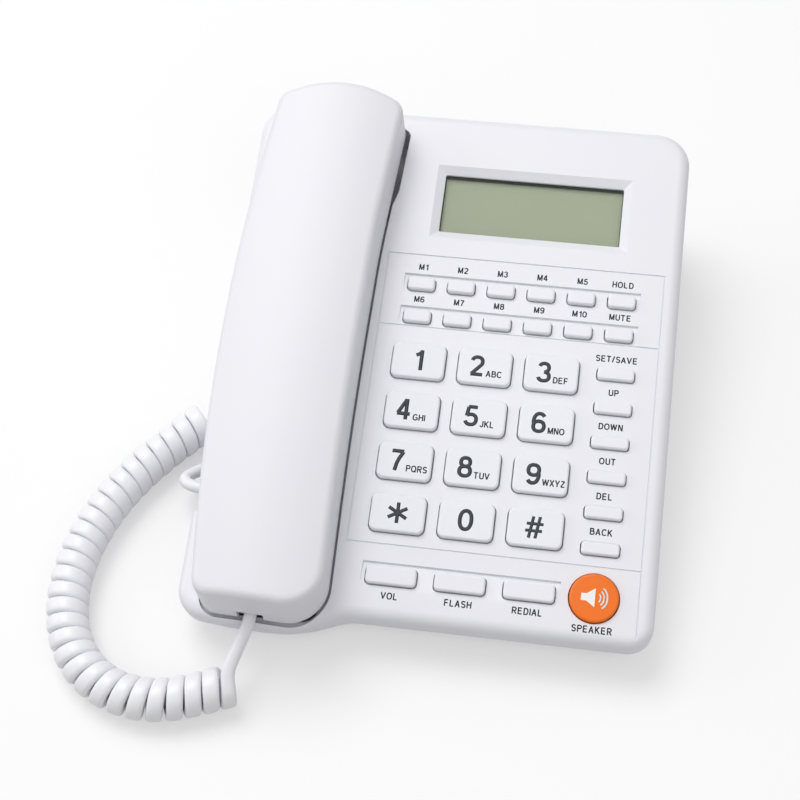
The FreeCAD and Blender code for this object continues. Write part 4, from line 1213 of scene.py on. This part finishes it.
@dataclass
class Print:
    """Flat inked shapes on a surface. Sizes are in mm.

    Attributes:
        ink: The ink's finish.
        width: Width of the strokes.
        thickness: Height of the ink.
        strokes: Lines of that width.
        outlines: Filled shapes.
    """

    ink: Finish
    width: float = 0.3
    thickness: float = 0.03
    strokes: list[Run] = field(default_factory=list)
    outlines: list[Run] = field(default_factory=list)

    def build(self, name: str, place: Matrix) -> bpy.types.Object:
        """Make the shapes a thin mesh.

        Args:
            name: Name of the piece.
            place: Frame that they lie in.

        Returns:
            The mesh, with the object at the origin.
        """
        pieces = []
        if self.strokes:
            data = self.drawn(self.strokes, closed=False)
            data.bevel_depth, data.bevel_resolution = self.width / 2 * MM, 0
            data.fill_mode, data.use_fill_caps = "NONE", True
            pieces.append(self.meshed(data, self.thickness / self.width))
        for outline in self.outlines:
            data = self.drawn([outline], closed=True)
            data.fill_mode, data.extrude = "BOTH", self.thickness / 2 * MM
            pieces.append(self.meshed(data, 1.0))
        piece = joined(pieces, name)
        Bench.settle(piece, place)
        piece.data.materials.clear()
        piece.data.materials.append(self.ink.material())
        return piece

    @staticmethod
    def drawn(runs: list[Run], closed: bool) -> bpy.types.Curve:
        """Flat curve through runs of points.

        Args:
            runs: The runs, in mm.
            closed: Whether each run is an outline.

        Returns:
            The curve. A run that ends where it starts is closed in any case.
        """
        data = bpy.data.curves.new("print", "CURVE")
        data.dimensions = "2D"
        for points in runs:
            ring = closed or (len(points) > 3 and math.dist(points[0], points[-1]) < SAME_POINT)
            held = points[:-1] if ring and not closed else points
            run = data.splines.new("POLY")
            run.points.add(len(held) - 1)
            for corner, (x, y) in zip(run.points, held):
                corner.co = (x * MM, y * MM, 0.0, 1.0)
            run.use_cyclic_u = ring
        return data

    @staticmethod
    def meshed(data: bpy.types.Curve, flatness: float) -> bpy.types.Object:
        """Turn a flat curve into a mesh of little height.

        Args:
            data: The curve.
            flatness: Share of its height that is kept.

        Returns:
            The mesh's object.
        """
        piece = bpy.data.objects.new("print", data)
        bpy.context.scene.collection.objects.link(piece)
        Bench.only(piece)
        bpy.ops.object.convert(target="MESH")
        piece = bpy.context.active_object
        Bench.settle(piece, Matrix.Diagonal((1.0, 1.0, flatness, 1.0)))
        return piece


@dataclass
class Legend:
    """Printed word on the deck or on a key. Sizes are in mm.

    Attributes:
        word: The letters.
        x: Place across the deck.
        v: Place of the middle of the capitals up the slope.
        w: Height of the surface above the deck.
        capital: Height of the capitals.
        weight: Width of the strokes, as a share of the height.
        spacing: Gap between letters, as a share of the height.
        align: What stands at x.
        ink: The ink's finish.
        bearing: Bare strip at a letter's right, as a share of the height.
    """

    word: str
    x: float
    v: float
    w: float = 0.0
    capital: float = 2.25
    weight: float = 0.19
    spacing: float = 0.15
    align: Align = Align.CENTRE
    ink: Finish = DARK_INK
    bearing: float = 0.07

    def build(self) -> bpy.types.Object:
        """Make the word a thin mesh at its place.

        Returns:
            The mesh's object.
        """
        strokes: list[Run] = []
        at = 0.0
        for letter in self.word:
            runs = [part for stroke in GLYPHS[letter] for part in cut_at_corners(run_of(stroke))]
            strokes += [[(at + x, y - 0.5) for x, y in run] for run in runs]
            at += max(x for run in runs for x, _ in run) + self.bearing + self.spacing
        shift = (at - self.spacing) / 2 if self.align is Align.CENTRE else 0.0
        scaled = [[((x - shift) * self.capital, y * self.capital) for x, y in run]
                  for run in strokes]
        return Print(self.ink, self.weight * self.capital, strokes=scaled).build(
            "legend", DECK.matrix(self.x, self.v, self.w))


def joined(pieces: list[bpy.types.Object], name: str) -> bpy.types.Object:
    """Several meshes made one.

    Args:
        pieces: The meshes' objects.
        name: Name of the piece that they make.

    Returns:
        The piece.
    """
    Bench.only(pieces[0])
    for piece in pieces:
        piece.select_set(True)
    if len(pieces) > 1:
        bpy.ops.object.join()
    piece = bpy.context.active_object
    piece.name = name
    piece.data.name = name
    return piece


@dataclass
class Keypad:
    """Dial keys, function keys and their printing. Sizes are in mm, on the deck's frame.

    Attributes:
        moulding: Makes the keys' smooth copies.
        key5_x: Middle of the centre column, from which every x is counted.
        pitch: Steps between the dial keys.
        cap_height: Height of their caps above the deck.
        digit: Height of the digits.
        digit_weight: Width of the digits' strokes, as a share of their height.
        hash_weight: The same for the hash.
        paired_shift: How far left of a key's middle a digit with letters stands.
        lone_shift: The same for a digit alone.
        letters_from: Where the letters start, right of and below the digit's middle.
        letters_spacing: Gap between them, as a share of their height.
        star_arm: Length of the star's arms.
        star_width: Their width.
        memory_v: Places of the two upper rows of words.
        memory_x: First of these words, to the left.
        memory_pitch: Steps between them.
        side_x: Place of the right column of words.
        side_v: First key of that column.
        side_pitch: Steps between its keys.
        side_rise: How far above its key a word stands.
        lower_v: Place of the lower row of words.
        lower_x: First of these words, to the left.
        lower_pitch: Steps between them.
        speaker_word: Word under the round key.
        letters: Letters of each digit.
        memory_words: Words of the two upper rows.
        side_words: Words of the right column.
        lower_words: Words of the lower row.
    """

    moulding: Moulding
    key5_x: float = 14.0
    pitch: Flat = (22.7, 18.25)
    cap_height: float = 2.0
    digit: float = 7.45
    digit_weight: float = 0.175
    hash_weight: float = 0.14
    paired_shift: float = 2.5
    lone_shift: float = 0.2
    letters_from: Flat = (3.2, 2.6)
    letters_spacing: float = 0.12
    star_arm: float = 3.55
    star_width: float = 1.2
    memory_v: Flat = (54.2, 41.8)
    memory_x: float = 25.5
    memory_pitch: float = 13.9
    side_x: float = 44.1
    side_v: float = 20.25
    side_pitch: float = 12.26
    side_rise: float = 5.9
    lower_v: float = -64.2
    lower_x: float = 22.0
    lower_pitch: float = 22.4
    speaker_word: Flat = (43.8, -67.7)
    letters: tuple[str, ...] = ("", "ABC", "DEF", "GHI", "JKL", "MNO", "PQRS", "TUV", "WXYZ")
    memory_words: tuple[tuple[str, ...], ...] = (
        ("M1", "M2", "M3", "M4", "M5", "HOLD"), ("M6", "M7", "M8", "M9", "M10", "MUTE"))
    side_words: tuple[str, ...] = ("SET/SAVE", "UP", "DOWN", "OUT", "DEL", "BACK")
    lower_words: tuple[str, ...] = ("VOL", "FLASH", "REDIAL")

    def build(self) -> None:
        """Make the keys and print them."""
        for node in frame["nodes"]:
            if self.moulding.slot[node] in ("dial_key", "small_key"):
                self.moulding.smooth(node)
        self.dial_legends()
        self.deck_legends()

    def dial_legends(self) -> None:
        """Print the digits, the star, the hash and the letters."""
        names = ("1", "2", "3", "4", "5", "6", "7", "8", "9", "star", "0", "hash")
        for i, name in enumerate(names):
            x = self.key5_x + (i % 3 - 1) * self.pitch[0]
            v = (1 - i // 3) * self.pitch[1]
            letters = self.letters[i] if i < len(self.letters) else ""
            digit_x = x - (self.paired_shift if letters else self.lone_shift)
            words = []
            if name == "star":
                words.append(self.star(x, v))
            else:
                symbol = "#" if name == "hash" else name
                weight = self.hash_weight if name == "hash" else self.digit_weight
                words.append(Legend(symbol, digit_x, v, self.cap_height, self.digit, weight,
                                    ink=INK).build())
            if letters:
                right, down = self.letters_from
                words.append(Legend(letters, digit_x + right, v - down, self.cap_height,
                                    spacing=self.letters_spacing, align=Align.LEFT).build())
            piece = joined(words, "legend_" + name)
            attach(piece, "key_" + name)
            report(piece)

    def star(self, x: float, v: float) -> bpy.types.Object:
        """Six-armed star of three bars.

        Args:
            x: Middle of the key across the deck.
            v: Middle of the key up the slope.

        Returns:
            The mesh's object.
        """
        bars = []
        for turn in (30.0, 90.0, 150.0):
            across = self.star_arm * math.cos(math.radians(turn))
            up = self.star_arm * math.sin(math.radians(turn))
            bars.append([(-across, -up), (across, up)])
        place = DECK.matrix(x, v, self.cap_height)
        return Print(INK, self.star_width, strokes=bars).build("star", place)

    def deck_legends(self) -> None:
        """Print the words beside the small keys."""
        words = []
        for v, row in zip(self.memory_v, self.memory_words):
            for i, word in enumerate(row):
                words.append(Legend(word, self.key5_x - self.memory_x + i * self.memory_pitch, v))
        for i, word in enumerate(self.side_words):
            v = self.side_v - self.side_pitch * i + self.side_rise
            words.append(Legend(word, self.key5_x + self.side_x, v))
        for i, word in enumerate(self.lower_words):
            x = self.key5_x - self.lower_x + self.lower_pitch * i
            words.append(Legend(word, x, self.lower_v))
        right, v = self.speaker_word
        words.append(Legend("SPEAKER", self.key5_x + right, v))
        piece = joined([word.build() for word in words], "deck_legends")
        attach(piece, "base")
        report(piece)


@dataclass
class SpeakerKey:
    """Round orange key with its loudspeaker symbol. Sizes are in mm, on the deck's frame.

    Attributes:
        moulding: Makes the key's smooth copy.
        x: Middle of the key across the deck.
        v: Middle of the key up the slope.
        height: Height of its face above the deck.
        horn: Outline of the horn.
        waves: Radius of each wave, and half the angle that it spans in degrees.
        wave_width: Width of the waves.
        wave_x: Middle of the waves.
    """

    moulding: Moulding
    x: float = 57.7
    v: float = -57.5
    height: float = 1.3
    horn: tuple[Flat, ...] = (
        (-4.2, -1.2), (-2.5, -1.2), (0.3, -3.1), (0.3, 3.1), (-2.5, 1.2), (-4.2, 1.2))
    waves: tuple[Flat, ...] = ((1.7, 48.0), (2.8, 52.0), (3.9, 56.0))
    wave_width: float = 0.6
    wave_x: float = 0.4

    def build(self) -> None:
        """Make the key and print its symbol."""
        self.moulding.smooth("speaker_key")
        waves = [run_of(((self.wave_x, 0.0, radius, radius, -half_angle, half_angle),))
                 for radius, half_angle in self.waves]
        shapes = Print(WHITE_INK, self.wave_width, strokes=waves, outlines=[list(self.horn)])
        place = DECK.matrix(self.x, self.v, self.height)
        symbol = shapes.build("loudspeaker_symbol", place)
        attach(symbol, "speaker_key")
        report(symbol)


@dataclass
class Display:
    """Liquid crystal panel, its dark mask, which also paints the shade that the bezel throws on the
    panel, and the clear window. Sizes are in mm.

    Attributes:
        moulding: Makes the smooth copies.
        low: Lower left corner of the mask's opening.
        high: Upper right corner of the mask's opening.
        margin: Width of the mask.
        mask_w: Height of the mask, square to the deck.
    """

    moulding: Moulding
    low: Flat = (-7.9, 69.7)
    high: Flat = (55.2, 91.7)
    margin: float = 1.8
    mask_w: float = -3.86

    def build(self) -> None:
        """Make the panel, the mask that also paints the bezel's shade, and the window."""
        self.moulding.smooth("display_panel")
        self.moulding.smooth("display_window")
        bpy.ops.object.select_all(action="DESELECT")
        bpy.ops.mesh.primitive_plane_add(size=1.0)
        piece = bpy.context.active_object
        middle = [(a + b) / 2 for a, b in zip(self.low, self.high)]
        size = [b - a + 2 * self.margin for a, b in zip(self.low, self.high)]
        piece.matrix_basis = Matrix.Diagonal((size[0] * MM, size[1] * MM, 1.0, 1.0))
        Bench.settle(piece, Matrix.Identity(4))
        # The mask's dark ring is the panel's border and also painted shade under the bezel's wall.
        with Bench.editing(piece) as mesh:
            Bench.pick(mesh, lambda face: True)
            bpy.ops.mesh.inset(thickness=self.margin * MM)
            bpy.ops.mesh.delete(type="FACE")
        Bench.settle(piece, DECK.matrix(middle[0], middle[1], self.mask_w))
        Bench.finish(piece, "display_mask_and_painted_shade", MASK_AND_PAINTED_SHADE, "base")


HOUSING_ANGLE = 19.0
OTHER_MOULDINGS = (
    "bottom_housing", "handset_outer_shell", "handset_inner_shell", "hook_plunger",
    "battery_door", "rubber_feet", "line_jack", "base_handset_jack", "handset_jack",
    "base_screws", "handset_screws")


def main() -> None:
    """Build the studio and every assembly, and note the sizes."""
    logging.basicConfig(level=logging.INFO, format="%(name)s: %(message)s")
    moulding = Moulding()
    Camera().build()
    Studio().build()
    plugs = [moulding.smooth("plug_handset"), moulding.smooth("plug_base")]
    HandsetCord().build(plugs)
    Keypad(moulding).build()
    SpeakerKey(moulding).build()
    Display(moulding).build()
    moulding.smooth("top_housing", HOUSING_ANGLE)
    for node in OTHER_MOULDINGS:
        moulding.smooth(node)
    for node, shown in frame["nodes"].items():
        if not shown.hide_render:
            moulding.plain(node)


if __name__ == "__main__":
    main()
